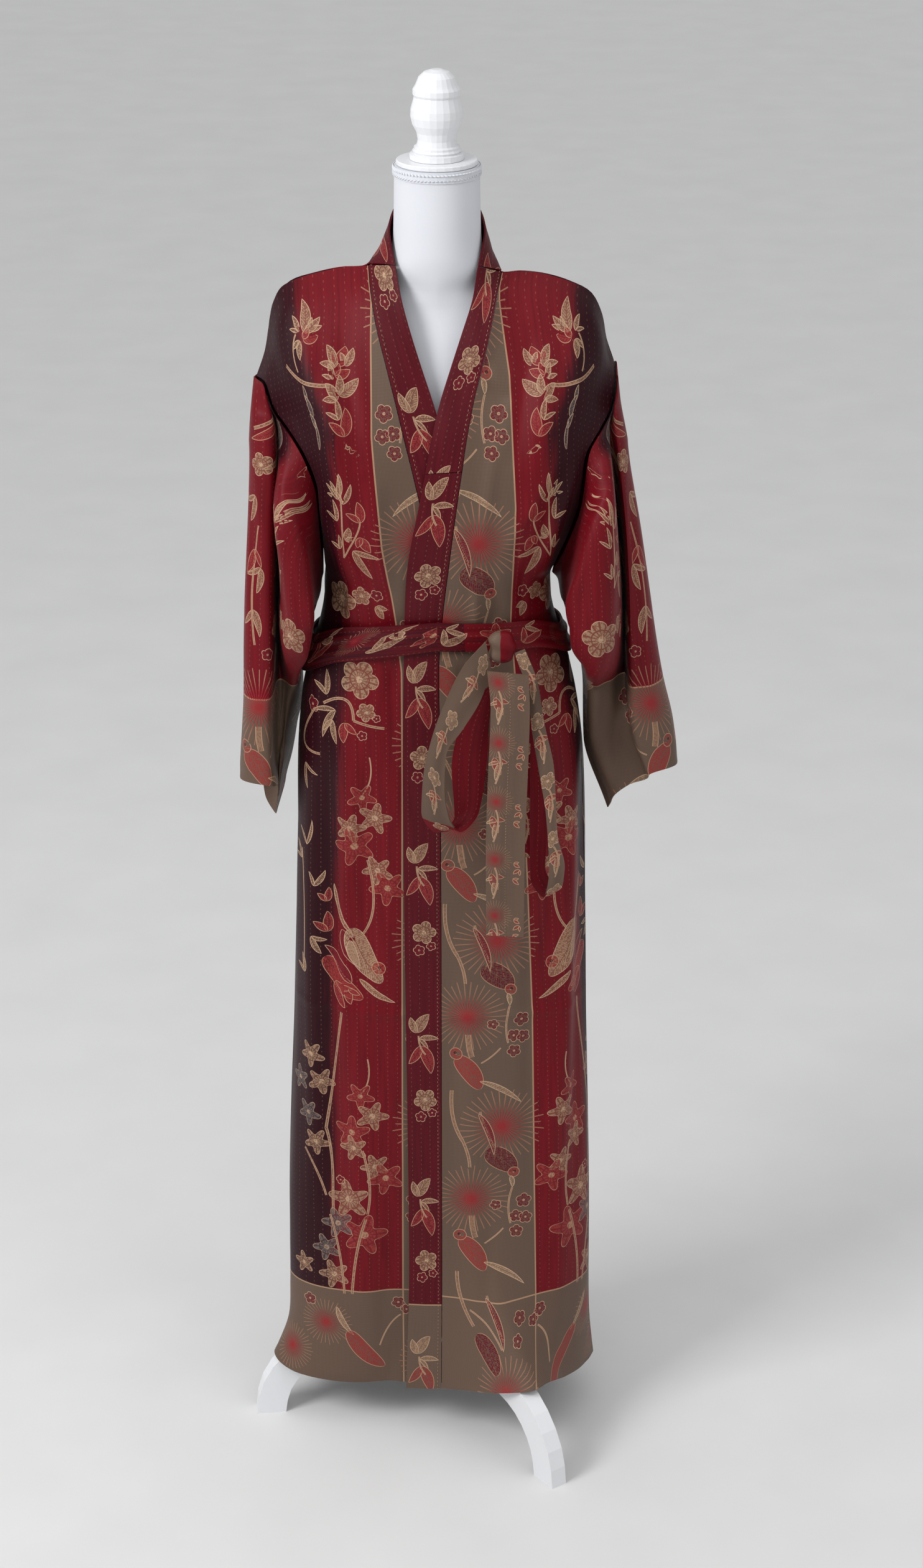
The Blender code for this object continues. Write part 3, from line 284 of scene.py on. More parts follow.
def lengths(points):
    """Distance along a run of points at each of them."""
    points = np.asarray(points, float)
    return np.concatenate(([0.0], np.cumsum(np.linalg.norm(np.diff(points, axis=0), axis=1))))


def spaced(points, fractions):
    """Points at the given fractions of a run of points' length."""
    run = lengths(points)
    return np.stack([np.interp(np.asarray(fractions) * run[-1], run, points[:, k]) for k in range(points.shape[1])], 1)


def smooth_run(points, count):
    """A smooth run through a few points, as count evenly spaced ones."""
    points = np.asarray(points, float)
    run = lengths(points)
    fine = steps(run, points, np.linspace(0, run[-1], 12 * len(points)))
    return spaced(fine, np.linspace(0, 1, count))


def closed_run(points, per_side):
    """A closed smooth loop through points (Catmull-Rom), per_side samples for each."""
    points = np.asarray(points, float)
    before, after, second = (np.roll(points, k, axis=0) for k in (1, -1, -2))
    loop = []
    for j in range(per_side):
        t = j / per_side
        loop.append(0.5 * (2 * points + (after - before) * t + (2 * before - 5 * points + 4 * after - second) * t * t
                           + (3 * points - before - 3 * after + second) * t**3))
    return np.stack(loop, 1).reshape(-1, 3)


def ease(value, start, end):
    """0 before start, 1 after end, smooth between."""
    t = np.clip((np.asarray(value, float) - start) / (end - start), 0, 1)
    return t * t * (3 - 2 * t)


# ---- the robe's surfaces ----------------------------------------------------------------------------------------
def body_point(turn, height, front=True):
    """Points of the robe's outline: turn runs from the left seam (-90 degrees) to the right one, round one half."""
    turn, height = np.broadcast_arrays(np.asarray(turn, float), np.asarray(height, float))
    left, right, ahead, behind = (column(BODY, k, height.ravel()).reshape(height.shape)
                                  for k in ("left", "right", "front", "back"))
    power = 2 / SIDE_ROUNDNESS
    across = np.sign(np.sin(turn)) * np.abs(np.sin(turn))**power
    deep = np.abs(np.cos(turn))**power
    x = (left + right) / 2 + (right - left) / 2 * across
    return np.stack((x, -ahead * deep if front else behind * deep, height), -1)


def half_ring(height, front=True, count=181):
    """The robe's outline at a height, from the left seam to the right one, round the front or the back."""
    return body_point(np.linspace(-math.pi / 2, math.pi / 2, count), height, front)


def part_of(ring, start_x=None, end_x=None, count=10, gap=SEAM):
    """The stretch of a half ring between two x values, or its ends less the seam gap, evenly spaced."""
    run = lengths(ring)
    start = gap if start_x is None else np.interp(start_x, ring[:, 0], run)
    end = run[-1] - gap if end_x is None else np.interp(end_x, ring[:, 0], run)
    at = np.linspace(start, end, count)
    return np.stack([np.interp(at, run, ring[:, k]) for k in range(3)], 1)


def edge_x(name, height):
    return float(column(EDGES, name, [height])[0])


def fold_back(grid):
    """Moves the under front's inner part back, behind the over front."""
    height = np.clip(grid[..., 2], HEM_HEIGHT, EDGES[-1].height)
    free = column(EDGES, "over_free", height.ravel()).reshape(height.shape)
    depth = LAP + (LAP_AT_HEM - LAP) * (1 - ease(height, HEM_HEIGHT, 0.75)) * (1 - ease(grid[..., 0], 0.0, 0.05))
    moved = grid.copy()
    moved[..., 1] += depth * ease(grid[..., 0], free - 0.055, free - 0.012)
    return moved


def settle(grid):
    """Draws the robe's lower end out and up to its hem line over the legs."""
    ring = np.concatenate((half_ring(HEM_HEIGHT)[:-1], half_ring(HEM_HEIGHT, front=False)[::-1][:-1]))
    around = np.degrees(np.arctan2(ring[:, 1], ring[:, 0]))
    order = np.argsort(around)
    azimuth = np.degrees(np.arctan2(grid[..., 1], grid[..., 0]))
    plain = np.interp(azimuth, around[order], np.hypot(ring[:, 0], ring[:, 1])[order], period=360)
    wanted = np.where(azimuth < HEM[0].azimuth, azimuth + 360, azimuth).ravel()
    reach = column(HEM, "reach", wanted).reshape(azimuth.shape) - plain
    lift = column(HEM, "height", wanted).reshape(azimuth.shape) - HEM_HEIGHT
    share = np.clip((HEM_EASE - grid[..., 2]) / (HEM_EASE - HEM_HEIGHT), 0, 1)**1.7
    out = np.radians(azimuth)
    return grid + np.stack((share * reach * np.cos(out), share * reach * np.sin(out), share * lift), -1)


def edge_run(name, count, top=None):
    """An upper neckband edge, from the underarm's height up to the neck, or to top."""
    heights = [row.height for row in EDGES if row.height >= UNDERARM_HEIGHT]
    base = part_of(half_ring(UNDERARM_HEIGHT), start_x=edge_x(name, UNDERARM_HEIGHT), count=2)[0]
    rows = [tuple(base)]
    rows += [(getattr(row, name), -row.depth, row.height) for row in EDGES if row.height > heights[0]]
    if top is not None:
        rows.append(top)
    return smooth_run(rows, count)


def patch(bottom, top, start, end):
    """A surface between four edges (Coons): bottom and top run from start's side to end's side."""
    rows, cols = len(start), len(bottom)
    v = np.linspace(0, 1, rows)[:, None, None]
    u = np.linspace(0, 1, cols)[None, :, None]
    lofted = (1 - v) * bottom[None] + v * top[None]
    crossed = (1 - u) * start[:, None] + u * end[:, None]
    corners = ((1 - u) * (1 - v) * bottom[0] + u * (1 - v) * bottom[-1] + (1 - u) * v * top[0] + u * v * top[-1])
    return lofted + crossed - corners


LOWER = np.concatenate((np.linspace(HEM_HEIGHT, HEM_EASE, 5)[:-1], np.linspace(HEM_EASE, 0.95, 6)[:-1],
                        np.linspace(0.95, UNDERARM_HEIGHT, 6)))


def shoulder_run(side, count, shift):
    """From the drop point up and in to the neck point, shifted off the shoulder ridge."""
    run = smooth_run(list(reversed(SHOULDER[side])) + [NECK_POINT[side]], count)
    run[:, 1] += shift * (1 - 0.2 * ease(np.linspace(0, 1, count), 0.85, 1.0))
    return run


def front_panel(side, rows=11, cols=13):
    """One front: the wearer's left lies over, the wearer's right under. Grid from hem to shoulder, seam to neckband."""
    over = side == "right"
    name = "over_seam" if over else "under_seam"
    gap = SEAM if over else -SEAM
    grid = []
    for height in LOWER:
        inner = edge_x(name, height) + gap
        if over:
            grid.append(part_of(half_ring(height), start_x=inner, count=cols)[::-1])
        else:
            grid.append(part_of(half_ring(height), end_x=inner, count=cols))
    outer = smooth_run(list(reversed(ARMHOLE_FRONT[side])), rows)
    outer[:, 1] -= RIDGE * ease(np.linspace(0, 1, rows), 0.8, 1.0)
    outer[0] = grid[-1][0]
    inner = edge_run(name, rows, NECK_POINT[side])
    inner[:, 0] += gap
    inner[-1, 1] -= 0.8 * RIDGE
    inner[0] = grid[-1][-1]
    top = shoulder_run(side, cols, -RIDGE)
    top[0], top[-1] = outer[-1], inner[-1]
    grid = np.concatenate((np.array(grid), patch(grid[-1], top, outer, inner)[1:]))
    return settle(grid) if over else fold_back(settle(grid))


def back_neck(side, count):
    """The back's neck seam, from one side's neck point round to the middle."""
    points = {"left": ((-0.070, 0.020, 1.500), (-0.042, 0.046, 1.506)),
              "right": ((0.059, 0.020, 1.496), (0.031, 0.046, 1.504))}[side]
    run = smooth_run((NECK_POINT[side],) + points + (BACK_CENTRE[-1],), count)
    run[:, 1] += 0.8 * RIDGE * (1 - ease(np.linspace(0, 1, count), 0.0, 0.4))
    return run


def armhole_back(side, count):
    """The back's armhole seam, from the underarm up to the drop point."""
    points = [(x, depth, z) for (x, _, z), depth in zip(ARMHOLE_FRONT[side], BACK_SEAM_DEPTHS)]
    return smooth_run(list(reversed(points)), count)


def back_panel(rows=11, cols=23):
    """The back in one piece, hem to shoulders, left to right."""
    grid = [part_of(half_ring(height, front=False), count=cols) for height in LOWER]
    middle = cols // 2
    base = grid[-1]
    centre_line = smooth_run(((base[middle][0], base[middle][1], UNDERARM_HEIGHT),) + BACK_CENTRE, rows)
    halves = []
    for side, bottom in (("left", base[:middle + 1]), ("right", base[middle:][::-1])):
        seam = armhole_back(side, rows)
        seam[:, 1] += RIDGE * ease(np.linspace(0, 1, rows), 0.8, 1.0)
        seam[0] = bottom[0]
        top = np.concatenate((shoulder_run(side, 40, RIDGE), back_neck(side, 40)[1:]))
        top = spaced(top, np.linspace(0, 1, middle + 1))
        top[0] = seam[-1]
        half = patch(bottom, top, seam, centre_line)
        rise, across = np.linspace(0, 1, rows)[:, None], np.linspace(0, 1, middle + 1)[None, :]
        push = BLADE_FULLNESS * np.sin(math.pi * rise**3) * np.sin(math.pi * across)**0.6
        half[..., 1] += 0.75 * push
        half[..., 2] += 0.65 * push
        halves.append(half[1:])
    upper = np.concatenate((halves[0], halves[1][:, -2::-1]), axis=1)
    whole = np.concatenate((np.array(grid), upper))
    for _ in range(14):
        inner = whole[len(LOWER) - 1:]
        inner[1:-1, 1:-1] = (inner[:-2, 1:-1] + inner[2:, 1:-1] + inner[1:-1, :-2] + inner[1:-1, 2:]) / 4
    return settle(whole)


def armhole_loop(side, per_side):
    """The sleeve's first section: on the armhole seam, just outside the body's edge, down the front and up the back."""
    front, back = smooth_run(ARMHOLE_FRONT[side], 90), armhole_back(side, 90)
    spots = np.array(FRONT_SPOTS + tuple(1 + s for s in BACK_SPOTS) + (2.0,))
    at = np.interp(np.arange(10 * per_side) / per_side, np.arange(11), spots)
    loop = np.concatenate((spaced(front, at[at < 1.0]), spaced(back, at[at >= 1.0] - 1)))
    away = -1 if side == "left" else 1
    loop[:, 0] += away * SLEEVE_GAP
    loop[:, 2] -= SLEEVE_GAP / 2
    return loop


def sleeve(side, per_side=2, between=2):
    """The empty sleeve, hanging from its armhole: closed sections from the armhole to the cuff."""
    away = -1 if side == "left" else 1
    stations = [armhole_loop(side, per_side)]
    for row in SLEEVES[side]:
        drop = row.outer_z - row.inner_z

        def point(x, y, down):
            return (x, y, row.outer_z - down * drop)
        stations.append(closed_run((
            point(row.outer_x, OUTER_Y[side], 0.0),
            point(row.strip_x, STRIP_Y[side], 0.02),
            point(row.strip_x - away * 0.006, row.valley_y, 0.20),
            point(row.pouch_out, row.pouch_y, 0.32),
            point(row.pouch_in, row.pouch_y, 0.55),
            point(0.3 * row.pouch_in + 0.7 * row.inner_x, 0.45 * row.pouch_y + 0.55 * row.inner_y, 0.85),
            point(row.inner_x, row.inner_y, 1.0),
            point(row.inner_x + away * 0.012, 0.15 * row.inner_y + 0.85 * row.back_y, 0.80),
            point((row.inner_x + row.outer_x) / 2, row.back_y, 0.42),
            point(row.outer_x - away * 0.006, row.back_y * 0.45, 0.08),
        ), per_side))
    stations = np.array(stations)
    count, spots = stations.shape[:2]
    keys = np.arange(count, dtype=float)
    fine = steps(keys, stations.reshape(count, -1), np.linspace(0, count - 1, (count - 1) * between + 1))
    return [row.reshape(spots, 3) for row in fine]


def band_grid(seam, free, cols=3):
    """Cloth between two runs of points."""
    u = np.linspace(0, 1, cols)[None, :, None]
    return (1 - u) * seam[:, None] + u * free[:, None]


def band(seam_name, free_name, seam_top, free_top, rows=11):
    """The neckband along one front, from the hem to the side of the neck, from its left edge to its right one."""
    away = SEAM if seam_name == "over_seam" else -SEAM
    grid = []
    for height in LOWER:
        seam, free = edge_x(seam_name, height) - away, edge_x(free_name, height)
        grid.append(part_of(half_ring(height), start_x=min(seam, free), end_x=max(seam, free), count=3))
    seam, free = edge_run(seam_name, rows, seam_top), edge_run(free_name, rows, free_top)
    seam[:, 0] -= away
    upper = band_grid(free, seam) if seam_name == "over_seam" else band_grid(seam, free)
    grid = settle(np.concatenate((np.array(grid), upper[1:])))
    return grid if seam_name == "over_seam" else fold_back(grid)


def belt_rings(count=48, levels=3):
    """The belt's stretch round the waist, over the robe, as closed rings from its lower to its upper edge."""
    turn = np.linspace(0, 360, count, endpoint=False)
    rows = list(BELT) + [Belt(360, BELT[0].height, BELT[0].width)]
    middle, width = column(rows, "height", turn), column(rows, "width", turn)
    front = (turn <= 90) | (turn >= 270)
    half = np.radians(np.where(front, (turn + 90) % 360 - 90, 180 - turn))
    rings = []
    for level in np.linspace(-0.5, 0.5, levels):
        height = middle + level * width
        ahead = body_point(half, height, True)
        behind = body_point(half, height, False)
        ring = np.where(front[:, None], ahead, behind)
        around = np.roll(ring, -1, axis=0) - np.roll(ring, 1, axis=0)
        out = np.stack((around[:, 1], -around[:, 0]), 1) / np.linalg.norm(around[:, :2], axis=1)[:, None]
        ring[:, :2] += out * (BELT_CLEARANCE + FOLDED + 0.0012 * (1 - (2 * level)**2))
        rings.append(ring)
    return rings


# ---- creases, seen from the front or the back: from one end to the other, half width and height -------------------
Crease = namedtuple("Crease", "x0 z0 x1 z1 width height")
FRONT_CREASES = (
    Crease(0.171, 0.96, 0.166, 0.33, 0.010, -0.0030), Crease(0.152, 0.98, 0.150, 0.40, 0.009, 0.0022),
    Crease(0.128, 0.99, 0.124, 0.62, 0.008, -0.0018), Crease(0.140, 0.60, 0.146, 0.14, 0.012, 0.0020),
    Crease(0.100, 0.86, 0.108, 0.30, 0.010, -0.0014), Crease(0.030, 0.70, 0.040, 0.20, 0.014, 0.0014),
    Crease(-0.133, 0.98, -0.137, 0.35, 0.010, -0.0030), Crease(-0.112, 0.99, -0.118, 0.50, 0.008, 0.0020),
    Crease(-0.152, 0.92, -0.160, 0.30, 0.011, 0.0018), Crease(-0.085, 0.97, -0.090, 0.60, 0.008, -0.0015),
    Crease(-0.100, 0.60, -0.104, 0.16, 0.012, 0.0018), Crease(-0.060, 0.93, -0.060, 0.45, 0.009, 0.0012),
    Crease(-0.165, 1.340, -0.100, 1.150, 0.010, 0.0026), Crease(-0.150, 1.300, -0.085, 1.130, 0.009, -0.0024),
    Crease(-0.130, 1.400, -0.100, 1.220, 0.012, 0.0022), Crease(-0.110, 1.440, -0.088, 1.290, 0.009, -0.0018),
    Crease(-0.150, 1.450, -0.140, 1.350, 0.010, 0.0020), Crease(-0.075, 1.280, -0.062, 1.140, 0.009, 0.0018),
    Crease(0.160, 1.320, 0.105, 1.150, 0.010, 0.0026), Crease(0.145, 1.300, 0.090, 1.130, 0.009, -0.0024),
    Crease(0.120, 1.420, 0.100, 1.230, 0.012, 0.0022), Crease(0.100, 1.440, 0.080, 1.290, 0.009, -0.0018),
    Crease(0.145, 1.450, 0.150, 1.360, 0.010, 0.0020), Crease(0.062, 1.330, 0.045, 1.200, 0.008, 0.0016),
    Crease(0.052, 1.400, 0.075, 1.375, 0.006, 0.0016), Crease(0.050, 1.380, 0.078, 1.360, 0.006, -0.0014),
    Crease(-0.190, 0.600, 0.190, 0.594, 0.006, 0.0010),
    Crease(0.118, 0.955, 0.126, 0.830, 0.006, 0.0014), Crease(0.140, 0.870, 0.150, 0.700, 0.006, -0.0012),
    Crease(0.085, 0.800, 0.094, 0.640, 0.007, 0.0010), Crease(0.134, 0.520, 0.128, 0.330, 0.008, 0.0012),
    Crease(-0.100, 0.930, -0.108, 0.760, 0.006, 0.0014), Crease(-0.125, 0.800, -0.128, 0.640, 0.006, -0.0013),
    Crease(-0.072, 0.760, -0.078, 0.560, 0.007, 0.0011), Crease(-0.142, 0.560, -0.136, 0.340, 0.008, -0.0012),
    Crease(-0.088, 0.420, -0.080, 0.240, 0.008, 0.0011), Crease(0.060, 0.330, 0.052, 0.120, 0.009, -0.0011),
    Crease(-0.150, 0.190, -0.110, 0.130, 0.007, 0.0010), Crease(0.120, 0.180, 0.150, 0.120, 0.007, 0.0010),
    Crease(0.128, 1.300, 0.070, 1.190, 0.007, 0.0013), Crease(-0.128, 1.260, -0.092, 1.170, 0.007, 0.0013),
)
BACK_CREASES = (
    Crease(0.120, 0.95, 0.126, 0.30, 0.011, -0.0030), Crease(0.070, 0.97, 0.078, 0.45, 0.010, 0.0022),
    Crease(0.025, 0.96, 0.020, 0.35, 0.012, -0.0022), Crease(-0.035, 0.97, -0.040, 0.28, 0.011, 0.0024),
    Crease(-0.080, 0.95, -0.088, 0.50, 0.010, -0.0024), Crease(-0.125, 0.96, -0.130, 0.25, 0.012, 0.0026),
    Crease(0.150, 0.70, 0.148, 0.15, 0.012, 0.0018), Crease(-0.150, 0.62, -0.156, 0.14, 0.010, -0.0016),
    Crease(0.150, 1.330, 0.070, 1.120, 0.012, 0.0028), Crease(0.130, 1.300, 0.050, 1.110, 0.010, -0.0024),
    Crease(-0.160, 1.330, -0.080, 1.120, 0.012, 0.0028), Crease(-0.135, 1.290, -0.058, 1.110, 0.010, -0.0022),
    Crease(0.060, 1.420, 0.040, 1.200, 0.013, 0.0018), Crease(-0.065, 1.430, -0.048, 1.210, 0.013, 0.0020),
    Crease(-0.190, 0.600, 0.190, 0.596, 0.006, 0.0010),
)
SLEEVE_CREASES = (
    Crease(-0.200, 1.330, -0.158, 1.140, 0.008, 0.0022), Crease(-0.186, 1.290, -0.150, 1.090, 0.007, -0.0020),
    Crease(-0.214, 1.300, -0.206, 0.980, 0.006, -0.0018), Crease(-0.180, 1.120, -0.168, 0.930, 0.008, 0.0022),
    Crease(-0.196, 1.020, -0.186, 0.850, 0.007, -0.0018), Crease(-0.215, 1.010, -0.225, 0.900, 0.006, 0.0014),
    Crease(0.190, 1.330, 0.152, 1.140, 0.008, 0.0022), Crease(0.182, 1.290, 0.148, 1.090, 0.007, -0.0020),
    Crease(0.212, 1.300, 0.228, 0.990, 0.006, -0.0018), Crease(0.180, 1.120, 0.176, 0.930, 0.008, 0.0022),
    Crease(0.206, 1.030, 0.202, 0.860, 0.007, -0.0018), Crease(0.236, 1.030, 0.256, 0.920, 0.006, 0.0014),
)

# ---- figures of the silk, in millimetres on the flat cloth: across from the stripe's edge, up from the floor -------
Motif = namedtuple("Motif", "kind path size")
ON_RED = (
    Motif("stem", (87, 1428, 92, 1409, 86, 1391), 1.8), Motif("leaf", (76, 1430, 79, 1462), 6.5),
    Motif("leaf", (83, 1430, 92, 1446), 3.4), Motif("leaf", (73, 1434, 56, 1438), 3.4),
    Motif("coral_leaf", (77, 1424, 60, 1428), 5.8), Motif("leaf", (81, 1422, 80, 1403), 4.3),
    Motif("stem", (112, 1394, 79, 1382, 46, 1380), 3.6), Motif("leaf", (40, 1398, 50, 1420), 5.4),
    Motif("coral_leaf", (37, 1400, 29, 1419), 7.2), Motif("leaf", (29, 1400, 20, 1417), 5.0),
    Motif("coral_leaf", (40, 1390, 23, 1396), 5.4), Motif("leaf", (43, 1386, 48, 1402), 3.6),
    Motif("leaf", (36, 1371, 14, 1387), 6.8), Motif("leaf", (38, 1365, 51, 1382), 5.4),
    Motif("leaf", (36, 1345, 40, 1367), 3.6), Motif("coral_leaf", (30, 1328, 29, 1358), 6.6),
    Motif("grey_leaf", (76, 1362, 80, 1379), 3.0), Motif("grey_leaf", (70, 1346, 78, 1369), 3.8),
    Motif("grey_leaf", (66, 1334, 75, 1350), 3.2), Motif("grey_leaf", (64, 1311, 68, 1343), 3.0),
    Motif("stem", (48, 1181, 40, 1250, 40, 1286), 1.8), Motif("stem", (47, 1183, 28, 1212, 21, 1231), 1.8),
    Motif("leaf", (44, 1257, 39, 1288), 3.8), Motif("leaf", (44, 1257, 52, 1278), 3.4),
    Motif("leaf", (38, 1252, 27, 1276), 3.2), Motif("leaf", (48, 1230, 51, 1256), 3.2),
    Motif("coral_leaf", (21, 1230, 22, 1255), 5.6), Motif("leaf", (41, 1207, 35, 1223), 4.7),
    Motif("coral_leaf", (21, 1211, 13, 1193), 6.1), Motif("leaf", (33, 1194, 17, 1158), 5.2),
    Motif("leaf", (51, 1193, 50, 1212), 3.0), Motif("flower", (67, 1122), 18), Motif("flower", (36, 1132), 9),
    Motif("blossom", (17, 1135), 6), Motif("leaf", (19, 1121, 13, 1105), 5.0),
    Motif("flower", (49, 1029), 18), Motif("leaf", (92, 1004, 93, 1034), 4.2),
    Motif("stem", (96, 993, 66, 1003, 56, 979), 3.0), Motif("stem", (56, 979, 38, 974, 20, 971), 2.8),
    Motif("flower", (41, 990), 9), Motif("blossom", (112, 988), 8), Motif("leaf", (79, 988, 99, 950), 4.5),
    Motif("leaf", (83, 975, 78, 946), 4.5), Motif("coral_leaf", (66, 975, 68, 950), 6.2),
    Motif("blossom", (46, 961), 5), Motif("blossom", (29, 983), 4),
    Motif("stem", (103, 928, 133, 940, 108, 984), 2.8), Motif("leaf", (127, 911, 121, 879), 3.2),
    Motif("stem", (38, 934, 37, 908, 46, 886), 1.6), Motif("coral_maple", (47, 882), 14),
    Motif("maple", (32, 856), 16), Motif("maple", (61, 842), 15), Motif("coral_maple", (56, 819), 20),
    Motif("maple", (29, 788), 15), Motif("coral_maple", (17, 766), 18),
    Motif("stem", (47, 702, 34, 742, 41, 800), 2.6),
    Motif("stem", (131, 799, 125, 720, 127, 640), 1.6), Motif("leaf", (121, 807, 113, 841), 2.8),
    Motif("leaf", (131, 786, 145, 807), 2.8), Motif("leaf", (110, 756, 97, 778), 3.4),
    Motif("coral_leaf", (96, 737, 93, 756), 4.8), Motif("coral_leaf", (95, 697, 95, 724), 6.6),
    Motif("leaf", (113, 689, 101, 667), 4.2), Motif("leaf", (125, 637, 130, 662), 3.8),
    Motif("tail", (86, 762, 57, 700), 3.6), Motif("wing", (71, 708, 43, 654), 9.6),
    Motif("body", (60, 710, 24, 640), 15.0), Motif("head", (28, 659), 7), Motif("eye", (27, 660), 1.6),
    Motif("tail", (62, 694, 50, 657), 6.0), Motif("coral_body", (97, 664, 47, 616), 12.0),
    Motif("wing", (61, 636, 98, 679), 7.4), Motif("tail", (51, 643, 8, 613), 4.4),
    Motif("coral_leaf", (83, 634, 68, 603), 6.6), Motif("coral_leaf", (64, 629, 61, 608), 5.2),
    Motif("stem", (73, 596, 88, 500, 98, 429), 3.0), Motif("stem", (98, 429, 90, 380, 88, 311), 3.0),
    Motif("maple", (116, 529), 14), Motif("grey_maple", (137, 489), 13), Motif("maple", (103, 493), 14),
    Motif("grey_maple", (121, 447), 14), Motif("maple", (110, 409), 14),
    Motif("stem", (127, 396, 111, 372, 97, 336), 2.6), Motif("stem", (42, 535, 41, 508, 50, 487), 1.6),
    Motif("coral_maple", (51, 484), 14), Motif("maple", (37, 456), 16), Motif("coral_maple", (62, 432), 18),
    Motif("maple", (60, 410), 14), Motif("maple", (34, 385), 14), Motif("coral_maple", (21, 367), 18),
    Motif("stem", (49, 408, 41, 360, 44, 317), 2.6), Motif("maple", (67, 336), 21),
    Motif("coral_maple", (48, 287), 23), Motif("grey_maple", (82, 299), 17), Motif("grey_maple", (97, 262), 15),
    Motif("maple", (87, 225), 16), Motif("maple", (129, 232), 12),
    Motif("stem", (64, 199, 58, 258, 46, 310), 3.0), Motif("stem", (74, 198, 80, 255, 92, 310), 2.6),
    Motif("blossom", (78, 361), 5),
)
ON_BORDER = (
    Motif("fan", (98, 153), 26), Motif("tail", (84, 178, 62, 138), 3.8), Motif("coral_body", (69, 144, 24, 90), 11.0),
    Motif("blossom", (6, 184), 7), Motif("blossom", (-4, 174), 6), Motif("stem", (30, 121, 18, 149, 3, 166), 1.8),
    Motif("fan", (147, 107), 24), Motif("fan", (-40, 100), 36), Motif("burgundy_body", (-86, 160, -58, 118), 13.0),
    Motif("blossom", (-24, 182), 7), Motif("blossom", (-30, 160), 6), Motif("stem", (-90, 190, -70, 175, -52, 150), 2.2),
    Motif("blossom", (120, 182), 7),
)
STRIPE_REPEAT = 0.254
ON_STRIPE = (
    Motif("fan", (-79, 596), 37), Motif("blossom", (-14, 589), 8), Motif("blossom", (-24, 568), 7),
    Motif("blossom", (-49, 585), 6), Motif("stem", (-79, 572, -78, 556, -75, 541), 6.0),
    Motif("coral_body", (-94, 540, -66, 496), 12.6), Motif("head", (-94, 545), 6.5), Motif("eye", (-95, 546), 1.5),
    Motif("tail", (-66, 507, -15, 474), 4.0), Motif("stem", (-64, 532, -52, 540, -40, 552), 1.8),
    Motif("stem", (-100, 494, -99, 455, -88, 424), 4.0), Motif("stem", (-88, 424, -82, 405, -80, 387), 3.4),
    Motif("fan", (-40, 443), 41), Motif("stem", (-66, 465, -60, 440, -49, 414), 2.4),
    Motif("burgundy_body", (-60, 408, -24, 378), 15.0), Motif("head", (-26, 377), 6), Motif("eye", (-25, 378), 1.5),
    Motif("tail", (-30, 372, -28, 355), 3.4), Motif("wing", (-68, 462, -50, 402), 5.0),
    Motif("stem", (-28, 355, -33, 330, -31, 304), 2.2), Motif("blossom", (-12, 311), 7), Motif("blossom", (-24, 293), 7),
)
ON_SLEEVE = (
    Motif("coral_leaf", (60, 1335, 47, 1262), 8.0), Motif("grey_leaf", (84, 1335, 70, 1268), 7.0),
    Motif("leaf", (70, 1300, 61, 1238), 6.0), Motif("wing", (57, 1252, 50, 1188), 7.0),
    Motif("stem", (16, 1322, 50, 1338, 90, 1362), 3.6), Motif("flower", (28, 1282), 11), Motif("blossom", (76, 1216), 7),
    Motif("leaf", (20, 1244, 11, 1212), 5.0), Motif("leaf", (30, 1160, 24, 1128), 5.0),
    Motif("leaf", (100, 1186, 92, 1122), 7.0), Motif("coral_leaf", (88, 1172, 83, 1110), 6.0),
    Motif("grey_leaf", (112, 1168, 109, 1096), 8.0), Motif("leaf", (20, 1108, 30, 1076), 5.0),
    Motif("stem", (26, 1210, 18, 1140, 24, 1066), 2.2), Motif("coral_leaf", (18, 1180, 8, 1150), 5.5),
    Motif("flower", (60, 1086), 12), Motif("blossom", (40, 1056), 6), Motif("leaf", (66, 1060, 60, 1026), 5.5),
)
BAND_REPEAT = 0.228
ON_BAND = (
    Motif("leaf", (14, 1030, 30, 1056), 7.5), Motif("leaf", (17, 1022, 42, 1022), 4.0),
    Motif("coral_leaf", (19, 1012, 32, 974), 8.0), Motif("stem", (16, 1026, 18, 1012, 25, 1000), 2.0),
    Motif("flower", (24, 938), 12), Motif("blossom", (18, 914), 6), Motif("blossom", (33, 920), 5),
)

